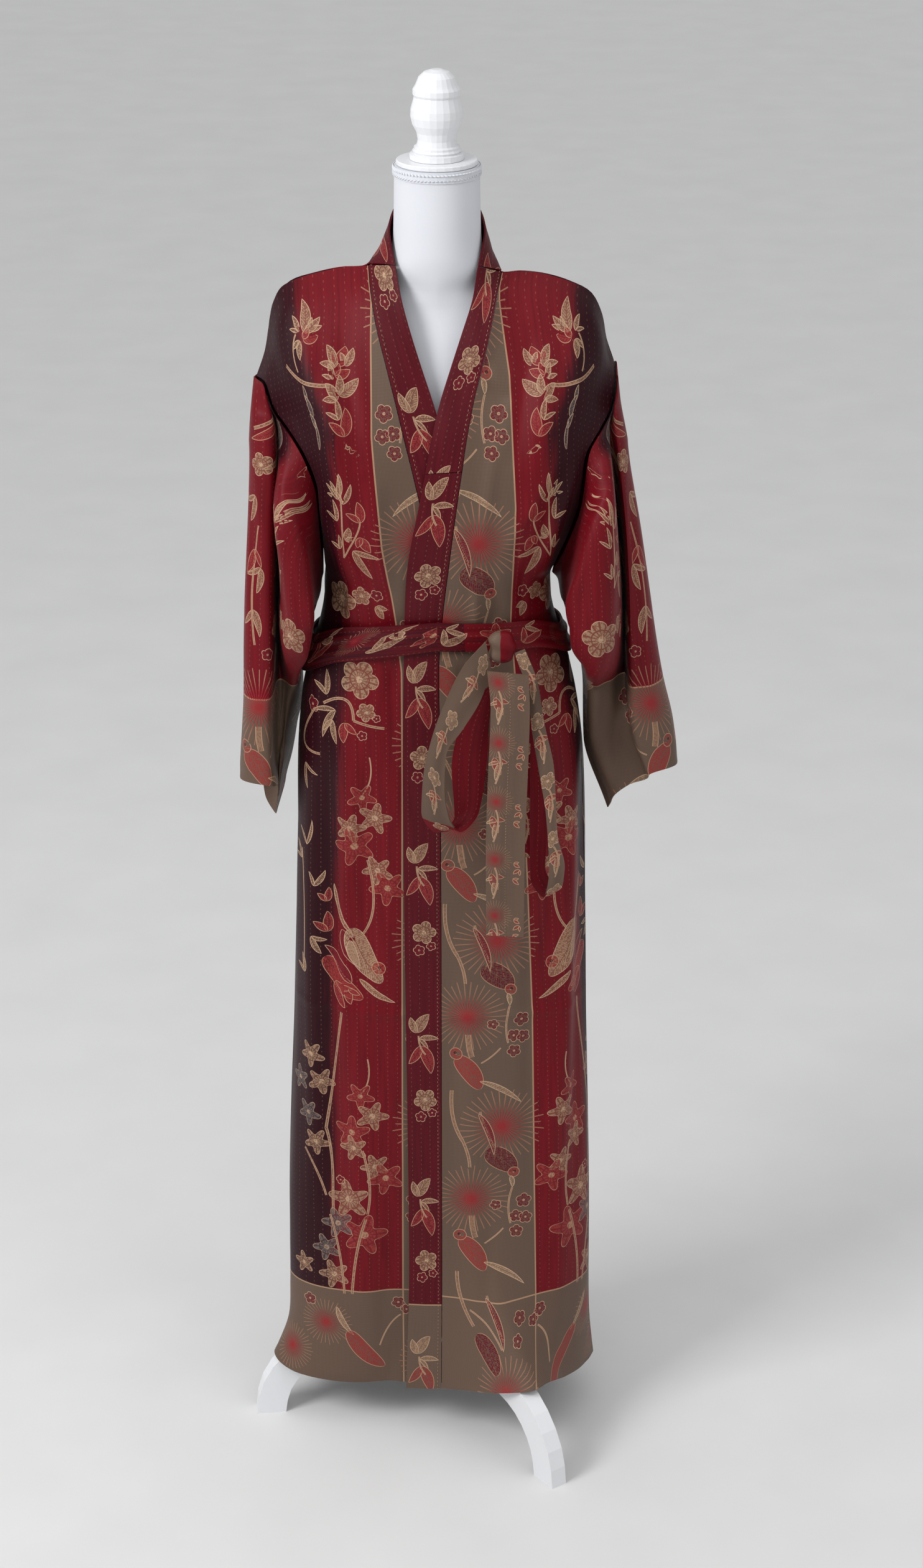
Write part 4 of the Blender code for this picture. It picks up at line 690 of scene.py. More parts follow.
# ---- styles: profile of the outline, colour inside, colour of the edge, in 0-255 screen values ----------------------
Style = namedtuple("Style", "number profile lobes inside edge")
STYLES = {
    "leaf": Style(0, 0.8, 0, (150, 118, 94), (182, 150, 122)),
    "coral_leaf": Style(1, 0.8, 0, (136, 46, 46), (174, 136, 108)),
    "grey_leaf": Style(2, 0.8, 0, (96, 86, 82), (166, 138, 114)),
    "stem": Style(3, 0.0, 0, (140, 106, 84), (172, 138, 112)),
    "coral_body": Style(4, 0.5, 0, (142, 48, 46), (174, 136, 108)),
    "burgundy_body": Style(5, 0.5, 0, (92, 16, 28), (172, 134, 106)),
    "wing": Style(6, 0.8, 0, (108, 24, 34), (178, 146, 118)),
    "body": Style(7, 0.5, 0, (160, 128, 102), (186, 156, 128)),
    "tail": Style(7, 0.8, 0, (160, 128, 102), (186, 156, 128)),
    "fan": Style(8, 0.88, 18, (142, 30, 38), (150, 108, 86)),
    "blossom": Style(9, 0.72, 5, (104, 20, 32), (180, 148, 120)),
    "flower": Style(10, 0.66, 5, (150, 118, 94), (184, 152, 124)),
    "coral_maple": Style(11, 0.52, 5, (134, 48, 46), (172, 134, 106)),
    "grey_maple": Style(12, 0.52, 5, (98, 86, 82), (166, 138, 114)),
    "maple": Style(13, 0.52, 5, (146, 112, 90), (180, 148, 120)),
    "head": Style(14, 0.94, 2, (140, 50, 46), (172, 138, 110)),
    "eye": Style(15, 0.94, 2, (34, 14, 16), (34, 14, 16)),
}
ROSETTES_FROM = 8
LAYERS = 3


def linear(*screen):
    """Screen values 0-255 as a linear colour."""
    return tuple(v / 255 / 12.92 if v / 255 < 0.04045 else ((v / 255 + 0.055) / 1.055)**2.4 for v in screen)


def colour_property(name, screen):
    return bpy.props.FloatVectorProperty(name=name, description=f"Colour of the {name.lower()}", subtype="COLOR",
                                         size=3, min=0.0, max=1.0, default=linear(*screen))


class RobeCloth(bpy.types.PropertyGroup):
    """Sizes and colours of the cloth."""
    cell: bpy.props.FloatProperty(name="Cell", description="Edge of the cloth's mesh cells", default=0.0045,
                                  unit="LENGTH")
    thickness: bpy.props.FloatProperty(name="Silk", description="Thickness of one layer of silk", default=0.0012,
                                       unit="LENGTH")
    folded: bpy.props.FloatProperty(name="Folded silk", description="Thickness of the neckband and belt",
                                    default=0.0020, unit="LENGTH")
    crease: bpy.props.FloatProperty(name="Crease", description="Strength of the creases", default=2.1, min=0.0,
                                    max=3.0)
    red: colour_property("Red ground", (103, 7, 20))
    plum: colour_property("Plum ground", (40, 2, 12))
    taupe: colour_property("Taupe ground", (72, 59, 54))
    line: colour_property("Beige line", (168, 134, 106))
    band: colour_property("Neckband ground", (80, 7, 20))
    stitch: colour_property("Stitch thread", (176, 140, 112))


class RobeForm(bpy.types.PropertyGroup):
    """Colours of the dress form and stand, and the studio."""
    jersey: colour_property("Jersey cover", (216, 218, 224))
    paint: colour_property("White paint", (232, 233, 236))
    floor: colour_property("Floor", (219, 219, 219))
    key: bpy.props.FloatProperty(name="Key light", description="Power of the key light", default=78.0, unit="POWER")
    fill: bpy.props.FloatProperty(name="Fill light", description="Power of the fill light", default=13.0,
                                  unit="POWER")


# ---- grids ----------------------------------------------------------------------------------------------------------
def pole():
    """The pole's axis on the floor, which the shape tables are measured from."""
    low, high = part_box("finial")
    return np.array(((low.x + high.x) / 2 - TORSO_X, (low.y + high.y) / 2, 0.0))


def refine_rows(grid, count):
    """A smooth run of evenly spaced rows through a grid's own ones."""
    keys = lengths(np.zeros((1, 3)))
    keys = np.concatenate((keys, np.cumsum(np.linalg.norm(np.diff(grid, axis=0), axis=2).mean(axis=1))))
    bend = np.gradient(grid, keys, axis=0)
    at = np.linspace(0, keys[-1], count)
    i = np.clip(np.searchsorted(keys, at, side="right") - 1, 0, len(keys) - 2)
    w = (keys[i + 1] - keys[i])[:, None, None]
    t = (at - keys[i])[:, None, None] / w
    return ((2 * t**3 - 3 * t**2 + 1) * grid[i] + (t**3 - 2 * t**2 + t) * w * bend[i]
            + (3 * t**2 - 2 * t**3) * grid[i + 1] + (t**3 - t**2) * w * bend[i + 1])


def refine(grid, rows, cols):
    """The same surface with more rows and columns."""
    return refine_rows(refine_rows(grid, rows).swapaxes(0, 1), cols).swapaxes(0, 1)


def normals(grid, closed, sign):
    """The outward direction at each point of a grid."""
    if closed:
        across = np.roll(grid, -1, axis=1) - np.roll(grid, 1, axis=1)
    else:
        across = np.gradient(grid, axis=1)
    out = np.cross(across, np.gradient(grid, axis=0)) * sign
    return out / np.maximum(np.linalg.norm(out, axis=2, keepdims=True), 1e-12)


def creased(grid, out, creases, strength, seed, keep=None):
    """Moves a grid's points along their normals by its creases, gathers at the belt and a slow unevenness."""
    x, z = grid[..., 0], grid[..., 2]
    relief = np.zeros(x.shape)
    for c in creases:
        dx, dz = c.x1 - c.x0, c.z1 - c.z0
        t = ((x - c.x0) * dx + (z - c.z0) * dz) / (dx * dx + dz * dz)
        span = np.clip(t, 0, 1)
        away = np.hypot(x - c.x0 - span * dx, z - c.z0 - span * dz)
        relief += c.height * np.exp(-(away / c.width)**2) * np.sin(math.pi * span)**0.6
    random = np.random.default_rng(seed)
    for _ in range(26):
        centre, length = random.uniform(-0.16, 0.16), random.uniform(0.03, 0.10)
        side = random.choice((-1, 1))
        start = 1.075 + side * 0.024 - 0.16 * 0.11 * (centre < 0) * 0
        t = (z - start) * side / length
        shape = np.where((t > 0) & (t < 1), np.sin(math.pi * np.clip(t, 0, 1)**0.6)**0.8, 0.0)
        relief += random.choice((-0.0013, 0.0016)) * shape * np.exp(-((x - centre) / 0.0055)**2)
    for _ in range(9):
        a, b, phase = random.uniform(14, 46), random.uniform(-14, 14), random.uniform(0, 6.28)
        relief += 0.00028 * np.sin(a * x + b * z + phase)
    if keep is not None:
        relief *= keep
    return grid + out * (strength * relief)[..., None]


def shell(name, grid, thickness, sign, ground, draw=None, closed=False):
    """A closed cloth wall over a grid of points, with its ground and figure numbers at its faces' corners."""
    rows, cols = grid.shape[:2]
    out = normals(grid, closed, sign)
    points = np.concatenate((grid.reshape(-1, 3), (grid - thickness * out).reshape(-1, 3)))
    i, j = (k.ravel() for k in np.meshgrid(np.arange(rows - 1), np.arange(cols if closed else cols - 1), indexing="ij"))
    corner_row = np.stack((i, i, i + 1, i + 1), 1)
    corner_col = np.stack((j, j + 1, j + 1, j), 1)
    order = [0, 1, 2, 3] if sign > 0 else [3, 2, 1, 0]
    corner_row, corner_col = corner_row[:, order], corner_col[:, order]
    face = corner_row * cols + corner_col % cols
    count = rows * cols
    inner = face[:, ::-1] + count
    low, high = np.arange(cols if closed else cols - 1), np.arange(rows - 1)
    edges = [(low, (low + 1) % cols), ((rows - 1) * cols + (low + 1) % cols, (rows - 1) * cols + low)]
    if not closed:
        edges += [(high * cols + cols - 1, (high + 1) * cols + cols - 1), ((high + 1) * cols, high * cols)]
    rims = []
    for start, end in edges:
        if sign < 0:
            start, end = end, start
        rims.append(np.stack((end, start, start + count, end + count), 1))
    rims = np.concatenate(rims)
    faces = np.concatenate((face, inner, rims))
    mesh = bpy.data.meshes.new(name)
    mesh.from_pydata(points.tolist(), [], faces.tolist())
    mesh.shade_smooth()
    mesh.set_sharp_from_angle(angle=math.radians(62))
    wrap = (lambda a: np.concatenate((a, a[:, :1]), axis=1)) if closed and ground.shape[1] == cols else (lambda a: a)
    ground = wrap(ground)
    corner_ground = ground[corner_row, corner_col]
    rim_ground = ground.reshape(-1, 4)[np.clip(rims % count, 0, ground.shape[0] * ground.shape[1] - 1)]
    everywhere = np.concatenate((corner_ground, corner_ground[:, ::-1], rim_ground)).reshape(-1, 4)
    store(mesh, "ground", everywhere[:, :3])
    store(mesh, "border", everywhere[:, 3])
    drawn = Drawing(corner_ground[..., :2] if draw is None else wrap(draw)[corner_row, corner_col])
    drawn.rest = len(faces) - len(face)
    made = bpy.data.objects.new(name, mesh)
    bpy.context.scene.collection.objects.link(made)
    return made, drawn


def store(mesh, name, values):
    """Keeps numbers at the mesh's face corners."""
    kind, field = ("FLOAT", "value") if values.ndim == 1 else ("FLOAT_VECTOR", "vector")
    attribute = mesh.attributes.new(name, kind, "CORNER")
    attribute.data.foreach_set(field, np.ascontiguousarray(values, np.float32).ravel())


class Drawing:
    """Figures on a sheet, kept as numbers at the corners of the faces that they cross."""

    def __init__(self, place):
        self.place = place
        self.middle = place.mean(axis=1)
        self.first = np.zeros((LAYERS,) + place.shape[:2] + (3,))
        self.second = np.zeros_like(self.first)
        self.used = np.zeros((LAYERS, len(place)), bool)
        self.rest = 0

    def put(self, near, first, second):
        """Writes one figure to the first free layer of each face that is near it."""
        left = np.ones(len(near), bool)
        for layer in range(LAYERS):
            free = left & ~self.used[layer, near]
            if layer == LAYERS - 1:
                free = left
            self.first[layer, near[free]] = first[free]
            self.second[layer, near[free]] = second[free]
            self.used[layer, near[free]] = True
            left &= ~free

    def stroke(self, style, start, middle, end, half):
        """A leaf, stem or body along a bent line through three points."""
        start, middle, end = (np.asarray(p, float) for p in (start, middle, end))
        hold = 2 * middle - (start + end) / 2
        length = np.linalg.norm(end - start)
        reach = length / 2 + half + 0.008 + np.linalg.norm(hold - middle)
        near = np.flatnonzero(np.linalg.norm(self.middle - middle, axis=1) < reach)
        if not len(near):
            return
        at = self.place[near]
        t = ((at - start) @ (end - start)) / length**2
        for _ in range(4):
            where = ((1 - t)**2)[..., None] * start + (2 * t * (1 - t))[..., None] * hold + (t * t)[..., None] * end
            along = (2 * (1 - t))[..., None] * (hold - start) + (2 * t)[..., None] * (end - hold)
            step = ((at - where) * along).sum(-1) / np.maximum((along * along).sum(-1), 1e-9)
            t = np.clip(t + step, -0.6, 1.6)
        unit = along / np.maximum(np.linalg.norm(along, axis=-1, keepdims=True), 1e-9)
        aside = ((at - where) * np.stack((-unit[..., 1], unit[..., 0]), -1)).sum(-1)
        crossing = ((np.abs(aside).min(axis=1) < half + 0.001) & (t.max(axis=1) > 0) & (t.min(axis=1) < 1))
        crossing |= (aside.min(axis=1) * aside.max(axis=1) < 0) & (t.max(axis=1) > 0) & (t.min(axis=1) < 1)
        near, t, aside = near[crossing], t[crossing], aside[crossing]
        constant = np.ones(t.shape)
        self.put(near, np.stack((t, aside / half, style.number * constant), -1),
                 np.stack((half * constant, length * constant, style.profile * constant), -1))

    def rosette(self, style, centre, radius, turn):
        """A flower, maple leaf or fan."""
        near = np.flatnonzero(np.linalg.norm(self.middle - centre, axis=1) < radius + 0.004)
        if not len(near):
            return
        at = (self.place[near] - centre) / radius
        c, s = math.cos(turn), math.sin(turn)
        constant = np.ones(at.shape[:2])
        self.put(near, np.stack((at[..., 0] * c + at[..., 1] * s, at[..., 1] * c - at[..., 0] * s,
                                 style.number * constant), -1),
                 np.stack((radius * constant, style.lobes * constant, style.profile * constant), -1))

    def motifs(self, table, shift=(0.0, 0.0), mirror=1.0):
        """All of a table's figures, moved by shift."""
        for m in table:
            style = STYLES[m.kind]
            path = np.array(m.path, float).reshape(-1, 2) / 1000 * (mirror, 1.0) + shift
            size = m.size / 1000
            if style.number >= ROSETTES_FROM:
                self.rosette(style, path[0], size * 1.3, 0.4 + 2.3 * path[0][0] * 40 + 7 * path[0][1])
            elif len(path) == 2:
                bend = np.array((path[0][1] - path[1][1], path[1][0] - path[0][0])) * 0.07
                self.stroke(style, path[0], path.mean(axis=0) + bend, path[1], size)
                if m.kind in ("leaf", "coral_leaf"):
                    self.stroke(style, path[0], *self.second_leaf(path, m.size), size * 0.72)
            else:
                self.stroke(style, path[0], path[1], path[2], size * 0.6)

    @staticmethod
    def second_leaf(path, turn_by):
        """A smaller leaf from the same joint, turned to one side: its middle and its tip."""
        turn = math.radians(52 if int(turn_by * 10) % 2 else -52)
        along = path[1] - path[0]
        aside = np.array((along[0] * math.cos(turn) - along[1] * math.sin(turn),
                          along[0] * math.sin(turn) + along[1] * math.cos(turn))) * 0.74
        return path[0] + 0.5 * aside + 0.06 * np.array((-aside[1], aside[0])), path[0] + aside

    def keep(self, mesh):
        """Stores the figures on the mesh."""
        blank = np.zeros((self.rest, 4, 3))
        for layer in range(LAYERS):
            store(mesh, f"figure_{layer}", np.concatenate((self.first[layer], blank)).reshape(-1, 3))
            store(mesh, f"shape_{layer}", np.concatenate((self.second[layer], blank)).reshape(-1, 3))


# ---- shader nodes ---------------------------------------------------------------------------------------------------
class Wiring:
    """Short calls for making nodes."""

    def __init__(self, tree):
        self.tree = tree

    def node(self, kind, settings=None, **inputs):
        made = self.tree.nodes.new(kind)
        for key, value in (settings or {}).items():
            setattr(made, key, value)
        for key, value in inputs.items():
            self.plug(made.inputs[key.replace("_", " ")], value)
        return made

    def plug(self, socket, value):
        if isinstance(value, bpy.types.NodeSocket):
            self.tree.links.new(value, socket)
        else:
            socket.default_value = value

    def math(self, operation, *values, clamp=False):
        made = self.tree.nodes.new("ShaderNodeMath")
        made.operation, made.use_clamp = operation, clamp
        for socket, value in zip(made.inputs, values):
            self.plug(socket, value)
        return made.outputs[0]

    def ramp(self, value, low, high):
        """0 below low, 1 above high, smooth between."""
        made = self.node("ShaderNodeMapRange", {"interpolation_type": "SMOOTHSTEP"})
        for socket, item in zip(made.inputs, (value, low, high, 0.0, 1.0)):
            self.plug(socket, item)
        return made.outputs[0]

    def mix(self, share, first, second, blend="MIX"):
        made = self.node("ShaderNodeMix", {"data_type": "RGBA", "blend_type": blend})
        self.plug(made.inputs[0], share)
        self.plug(made.inputs[6], first)
        self.plug(made.inputs[7], second)
        return made.outputs[2]

    def split(self, vector):
        made = self.node("ShaderNodeSeparateXYZ")
        self.plug(made.inputs[0], vector)
        return made.outputs

    def attribute(self, name, output="Vector"):
        return self.node("ShaderNodeAttribute", {"attribute_name": name}).outputs[output]


def new_group(name, inputs, outputs):
    """An empty shader node group with named sockets."""
    tree = bpy.data.node_groups.new(name, "ShaderNodeTree")
    for label, kind in inputs:
        tree.interface.new_socket(label, in_out="INPUT", socket_type=kind)
    for label, kind in outputs:
        tree.interface.new_socket(label, in_out="OUTPUT", socket_type=kind)
    wires = Wiring(tree)
    return wires, tree.nodes.new("NodeGroupInput").outputs, tree.nodes.new("NodeGroupOutput").inputs


def figure_group():
    """One layer of figures: its colour, where it covers the ground, and how far it stands up."""
    w, source, result = new_group("figure", [("Figure", "NodeSocketVector"), ("Shape", "NodeSocketVector")],
                                  [("Colour", "NodeSocketColor"), ("Cover", "NodeSocketFloat")])
    first, aside, style = w.split(source["Figure"])
    half, length, profile = w.split(source["Shape"])
    lean = w.math("POWER", w.math("MAXIMUM", first, 0.0), 0.8)
    bow = w.math("SUBTRACT", w.math("MULTIPLY", lean, 2.0), 1.0)
    bow = w.math("MAXIMUM", w.math("SUBTRACT", 1.0, w.math("MULTIPLY", bow, bow)), 0.0)
    across = w.math("ABSOLUTE", aside)
    inside = w.math("MULTIPLY", w.math("GREATER_THAN", first, 0.0), w.math("LESS_THAN", first, 1.0))
    blade = w.math("MULTIPLY", w.math("SUBTRACT", w.math("POWER", bow, profile), across), half)
    blade = w.math("SUBTRACT", blade, w.math("SUBTRACT", 1.0, inside))
    run = w.math("SUBTRACT", w.math("MULTIPLY", first, length), w.math("MULTIPLY", across, half))
    vein = w.math("LESS_THAN", w.math("FRACT", w.math("DIVIDE", run, 0.0031)), 0.26)
    rib = w.math("LESS_THAN", w.math("MULTIPLY", across, half), 0.00045)
    blade_line = w.math("MULTIPLY", w.math("MAXIMUM", vein, rib), w.math("GREATER_THAN", profile, 0.1))
    radius = w.math("SQRT", w.math("ADD", w.math("MULTIPLY", first, first), w.math("MULTIPLY", aside, aside)))
    angle = w.math("ARCTAN2", aside, first)
    lobe = w.math("ABSOLUTE", w.math("COSINE", w.math("MULTIPLY", w.math("MULTIPLY", angle, length), 0.5)))
    point = w.math("MULTIPLY_ADD", w.math("GREATER_THAN", style, 10.5), 1.7, 0.7)
    rim = w.math("ADD", profile, w.math("MULTIPLY", w.math("SUBTRACT", 1.0, profile), w.math("POWER", lobe, point)))
    round_ = w.math("MULTIPLY", w.math("SUBTRACT", rim, radius), half)
    needle = w.math("LESS_THAN", w.math("FRACT", w.math("MULTIPLY", angle, w.math("MULTIPLY", length, 0.48))), 0.30)
    eye = w.math("LESS_THAN", radius, 0.17)
    ring = w.math("LESS_THAN", w.math("ABSOLUTE", w.math("SUBTRACT", radius, 0.5)), 0.035)
    round_line = w.math("MAXIMUM", w.math("MULTIPLY", needle, w.math("GREATER_THAN", radius, 0.2)), ring)
    is_round = w.math("GREATER_THAN", style, ROSETTES_FROM - 0.5)
    deep = w.node("ShaderNodeMix", {"data_type": "FLOAT"})
    for socket, value in zip((deep.inputs[0], deep.inputs[2], deep.inputs[3]), (is_round, blade, round_)):
        w.plug(socket, value)
    lines = w.node("ShaderNodeMix", {"data_type": "FLOAT"})
    for socket, value in zip((lines.inputs[0], lines.inputs[2], lines.inputs[3]), (is_round, blade_line, round_line)):
        w.plug(socket, value)
    deep, lines = deep.outputs[0], lines.outputs[0]
    edge = w.math("SUBTRACT", 1.0, w.ramp(deep, 0.0007, 0.0011))
    cover = w.math("MULTIPLY", w.ramp(deep, 0.0, 0.0003), w.math("GREATER_THAN", half, 0.0001))
    place = w.node("ShaderNodeTexCoord").outputs["Object"]
    speck = w.node("ShaderNodeTexNoise", Vector=place, Scale=420.0, Detail=1.0).outputs["Fac"]
    lines = w.math("MAXIMUM", lines, w.math("MULTIPLY", w.ramp(speck, 0.50, 0.58), 0.75))
    open_ = w.math("MULTIPLY", w.math("MULTIPLY", lines, w.math("SUBTRACT", 1.0, edge)), 0.72)
    cover = w.math("MULTIPLY", cover, w.math("SUBTRACT", 1.0, open_))
    key = w.math("DIVIDE", w.math("ADD", style, 0.5), 16.0)
    inner, outer = (palette(w, key, field) for field in ("inside", "edge"))
    middle = w.math("MULTIPLY", w.math("MULTIPLY", eye, is_round), 0.8)
    is_fan = w.math("COMPARE", style, 8.0, 0.4)
    thin = w.math("DIVIDE", 0.13, w.math("MAXIMUM", radius, 0.16))
    ray = w.math("LESS_THAN", w.math("FRACT", w.math("MULTIPLY", angle, 5.57)), thin)
    heart = w.math("LESS_THAN", radius, 0.10)
    needles = w.math("MULTIPLY", w.math("MAXIMUM", ray, heart), w.ramp(round_, 0.0, 0.0003))
    shade = w.math("MULTIPLY", is_fan, w.ramp(radius, 0.35, 0.75))
    plain = w.math("MULTIPLY", w.math("SUBTRACT", 1.0, is_fan), w.math("MAXIMUM", edge, middle))
    cover = w.math("ADD", w.math("MULTIPLY", cover, w.math("SUBTRACT", 1.0, is_fan)),
                   w.math("MULTIPLY", w.math("MULTIPLY", needles, is_fan), 0.85))
    w.plug(result["Colour"], w.mix(w.math("ADD", shade, plain), inner, outer))
    w.plug(result["Cover"], cover)
    return w.tree


def palette(w, key, field):
    """The colour of a style's number."""
    made = w.node("ShaderNodeValToRGB", Fac=key)
    made.color_ramp.interpolation = "CONSTANT"
    stops = {s.number: getattr(s, field) for s in STYLES.values()}
    bar = made.color_ramp.elements
    for number in sorted(stops):
        stop = bar[0] if number == 0 else bar.new(number / 16)
        stop.color = (*linear(*stops[number]), 1.0)
    bar.remove(bar[-1])
    return made.outputs[0]


def ground_group():
    """The woven ground: red shading into plum, the taupe stripe and border, beige lines, pin dashes and weave."""
    w, source, result = new_group(
        "ground", [("Place", "NodeSocketVector"), ("Border", "NodeSocketFloat"), ("Red", "NodeSocketColor"),
                   ("Plum", "NodeSocketColor"), ("Taupe", "NodeSocketColor"), ("Line", "NodeSocketColor")],
        [("Colour", "NodeSocketColor"), ("Weave", "NodeSocketFloat")])
    u, v, past = w.split(source["Place"])
    streaks = w.node("ShaderNodeCombineXYZ", X=w.math("MULTIPLY", u, 260.0), Y=w.math("MULTIPLY", v, 14.0))
    noise = w.node("ShaderNodeTexNoise", {"noise_dimensions": "2D"}, Vector=streaks.outputs[0], Scale=1.0, Detail=3.0)
    cloud = w.math("SUBTRACT", noise.outputs["Fac"], 0.5)
    warped = w.math("ADD", past, w.math("MULTIPLY", cloud, 0.030))
    colour = w.mix(w.ramp(warped, -0.010, 0.012), source["Red"], source["Plum"])
    colour = w.mix(1.0, colour, w.node("ShaderNodeCombineColor", Red=w.math("ADD", 1.0, w.math("MULTIPLY", cloud, 0.7)),
                                       Green=w.math("ADD", 1.0, w.math("MULTIPLY", cloud, 0.5)),
                                       Blue=w.math("ADD", 1.0, w.math("MULTIPLY", cloud, 0.6))).outputs[0], "MULTIPLY")
    column = w.math("ABSOLUTE", w.math("SUBTRACT", w.math("FRACT", w.math("DIVIDE", u, 0.012)), 0.5))
    shift = w.math("MULTIPLY", w.math("FLOOR", w.math("DIVIDE", u, 0.012)), 0.5)
    row = w.math("FRACT", w.math("ADD", w.math("DIVIDE", v, 0.0062), shift))
    dash = w.math("MULTIPLY", w.math("LESS_THAN", column, 0.035), w.math("LESS_THAN", row, 0.30))
    colour = w.mix(w.math("MULTIPLY", dash, 0.18), colour, source["Line"])
    stripe = w.math("MAXIMUM", w.ramp(u, 0.0002, -0.0002), w.ramp(source["Border"], 0.0002, -0.0002))
    slant = w.math("SINE", w.math("MULTIPLY", w.math("ADD", u, v), 2094.0))
    slope = w.math("SINE", w.math("MULTIPLY", w.math("SUBTRACT", u, v), 2094.0))
    hatch = w.math("MULTIPLY_ADD", w.math("MULTIPLY", slant, slope), 0.28, 0.5)
    taupe = w.mix(hatch, source["Taupe"], w.mix(0.34, source["Taupe"], source["Line"]))
    colour = w.mix(stripe, colour, taupe)
    edge = w.math("MINIMUM", w.math("ABSOLUTE", u), w.math("ABSOLUTE", source["Border"]))
    colour = w.mix(w.math("MULTIPLY", w.math("LESS_THAN", edge, 0.0009), 0.85), colour, source["Line"])
    warp = w.math("SINE", w.math("MULTIPLY", u, 7400.0))
    weft = w.math("SINE", w.math("MULTIPLY", v, 6600.0))
    w.plug(result["Colour"], colour)
    w.plug(result["Weave"], w.math("MULTIPLY_ADD", w.math("MULTIPLY", warp, weft), 0.5, 0.5))
    return w.tree


def shared_group(name, maker):
    return bpy.data.node_groups.get(name) or maker()


def silk_material(name, red, plum, roughness):
    """Silk with its ground, figures and weave."""
    colours = bpy.context.scene.robe_cloth
    made = bpy.data.materials.new(name)
    made.use_nodes = True
    w = Wiring(made.node_tree)
    shader = made.node_tree.nodes["Principled BSDF"]
    ground = w.node("ShaderNodeGroup", {"node_tree": shared_group("ground", ground_group)})
    for label, value in (("Place", w.attribute("ground")), ("Border", w.attribute("border", "Fac")),
                         ("Red", (*red, 1.0)), ("Plum", (*plum, 1.0)), ("Taupe", (*colours.taupe, 1.0)),
                         ("Line", (*colours.line, 1.0))):
        w.plug(ground.inputs[label], value)
    colour, height = ground.outputs["Colour"], ground.outputs["Weave"]
    for layer in range(LAYERS):
        figure = w.node("ShaderNodeGroup", {"node_tree": shared_group("figure", figure_group)},
                        Figure=w.attribute(f"figure_{layer}"), Shape=w.attribute(f"shape_{layer}"))
        colour = w.mix(figure.outputs["Cover"], colour, figure.outputs["Colour"])
        height = w.math("ADD", height, w.math("MULTIPLY", figure.outputs["Cover"], 0.5))
    shade = w.math("MULTIPLY_ADD", ground.outputs["Weave"], 0.16, 0.92)
    grey = w.node("ShaderNodeCombineColor", Red=shade, Green=shade, Blue=shade)
    w.plug(shader.inputs["Base Color"], w.mix(1.0, colour, grey.outputs[0], "MULTIPLY"))
    bump = w.node("ShaderNodeBump", Height=height, Strength=0.35, Distance=0.00025)
    w.plug(shader.inputs["Normal"], bump.outputs[0])
    shader.inputs["Roughness"].default_value = roughness
    shader.inputs["Specular IOR Level"].default_value = 0.15
    shader.inputs["Sheen Weight"].default_value = 0.03
    shader.inputs["Sheen Roughness"].default_value = 0.35
    return made


def plain_material(name, colour, roughness, grain, scale, strength, distance):
    """Paint, jersey, thread or floor: a colour varied by noise, with a fine grain."""
    made = bpy.data.materials.new(name)
    made.use_nodes = True
    w = Wiring(made.node_tree)
    shader = made.node_tree.nodes["Principled BSDF"]
    place = w.node("ShaderNodeTexCoord").outputs["Object"]
    spread = w.node("ShaderNodeMapping", Vector=place, Scale=scale)
    fine = w.node("ShaderNodeTexNoise", Vector=spread.outputs[0], Scale=grain, Detail=4.0)
    broad = w.node("ShaderNodeTexNoise", Vector=place, Scale=6.0, Detail=3.0)
    darker = tuple(c * 0.90 for c in colour)
    w.plug(shader.inputs["Base Color"], w.mix(broad.outputs["Fac"], (*colour, 1.0), (*darker, 1.0)))
    w.plug(shader.inputs["Roughness"], w.math("MULTIPLY_ADD", fine.outputs["Fac"], 0.15, roughness - 0.07))
    bump = w.node("ShaderNodeBump", Height=fine.outputs["Fac"], Strength=strength, Distance=distance)
    w.plug(shader.inputs["Normal"], bump.outputs[0])
    return made


def settings():
    return bpy.context.scene.robe_cloth, bpy.context.scene.robe_form


def finish_material(key):
    """The material of that name, made once."""
    cloth, form = settings()
    makers = {
        "silk": lambda: silk_material(key, tuple(cloth.red), tuple(cloth.plum), 0.46),
        "silk_band": lambda: silk_material(key, tuple(cloth.band), tuple(cloth.band), 0.46),
        "jersey": lambda: plain_material(key, tuple(form.jersey), 0.85, 900.0, (1, 1, 0.25), 0.3, 0.0003),
        "paint": lambda: plain_material(key, tuple(form.paint), 0.34, 160.0, (1, 1, 0.12), 0.25, 0.0002),
        "thread": lambda: plain_material(key, tuple(cloth.stitch), 0.6, 900.0, (1, 1, 1), 0.2, 0.0001),
        "floor": lambda: plain_material(key, tuple(form.floor), 0.8, 60.0, (1, 1, 1), 0.1, 0.0003),
    }
    return bpy.data.materials.get(key) or makers[key]()


def declare(made, nodes):
    """Hands a finished piece to the frame."""
    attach(made, "root")
    if nodes:
        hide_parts(*nodes)
    return made


def declare_sheet(made, grid, with_pieces=()):
    """Says what the sheet was cut to: its widest row, its longest column and its whole area."""
    rows = np.linalg.norm(np.diff(grid, axis=1), axis=2).sum(axis=1)
    if len(with_pieces) == 0 and made.get("closed_ring"):
        rows = rows + np.linalg.norm(grid[:, 0] - grid[:, -1], axis=1)


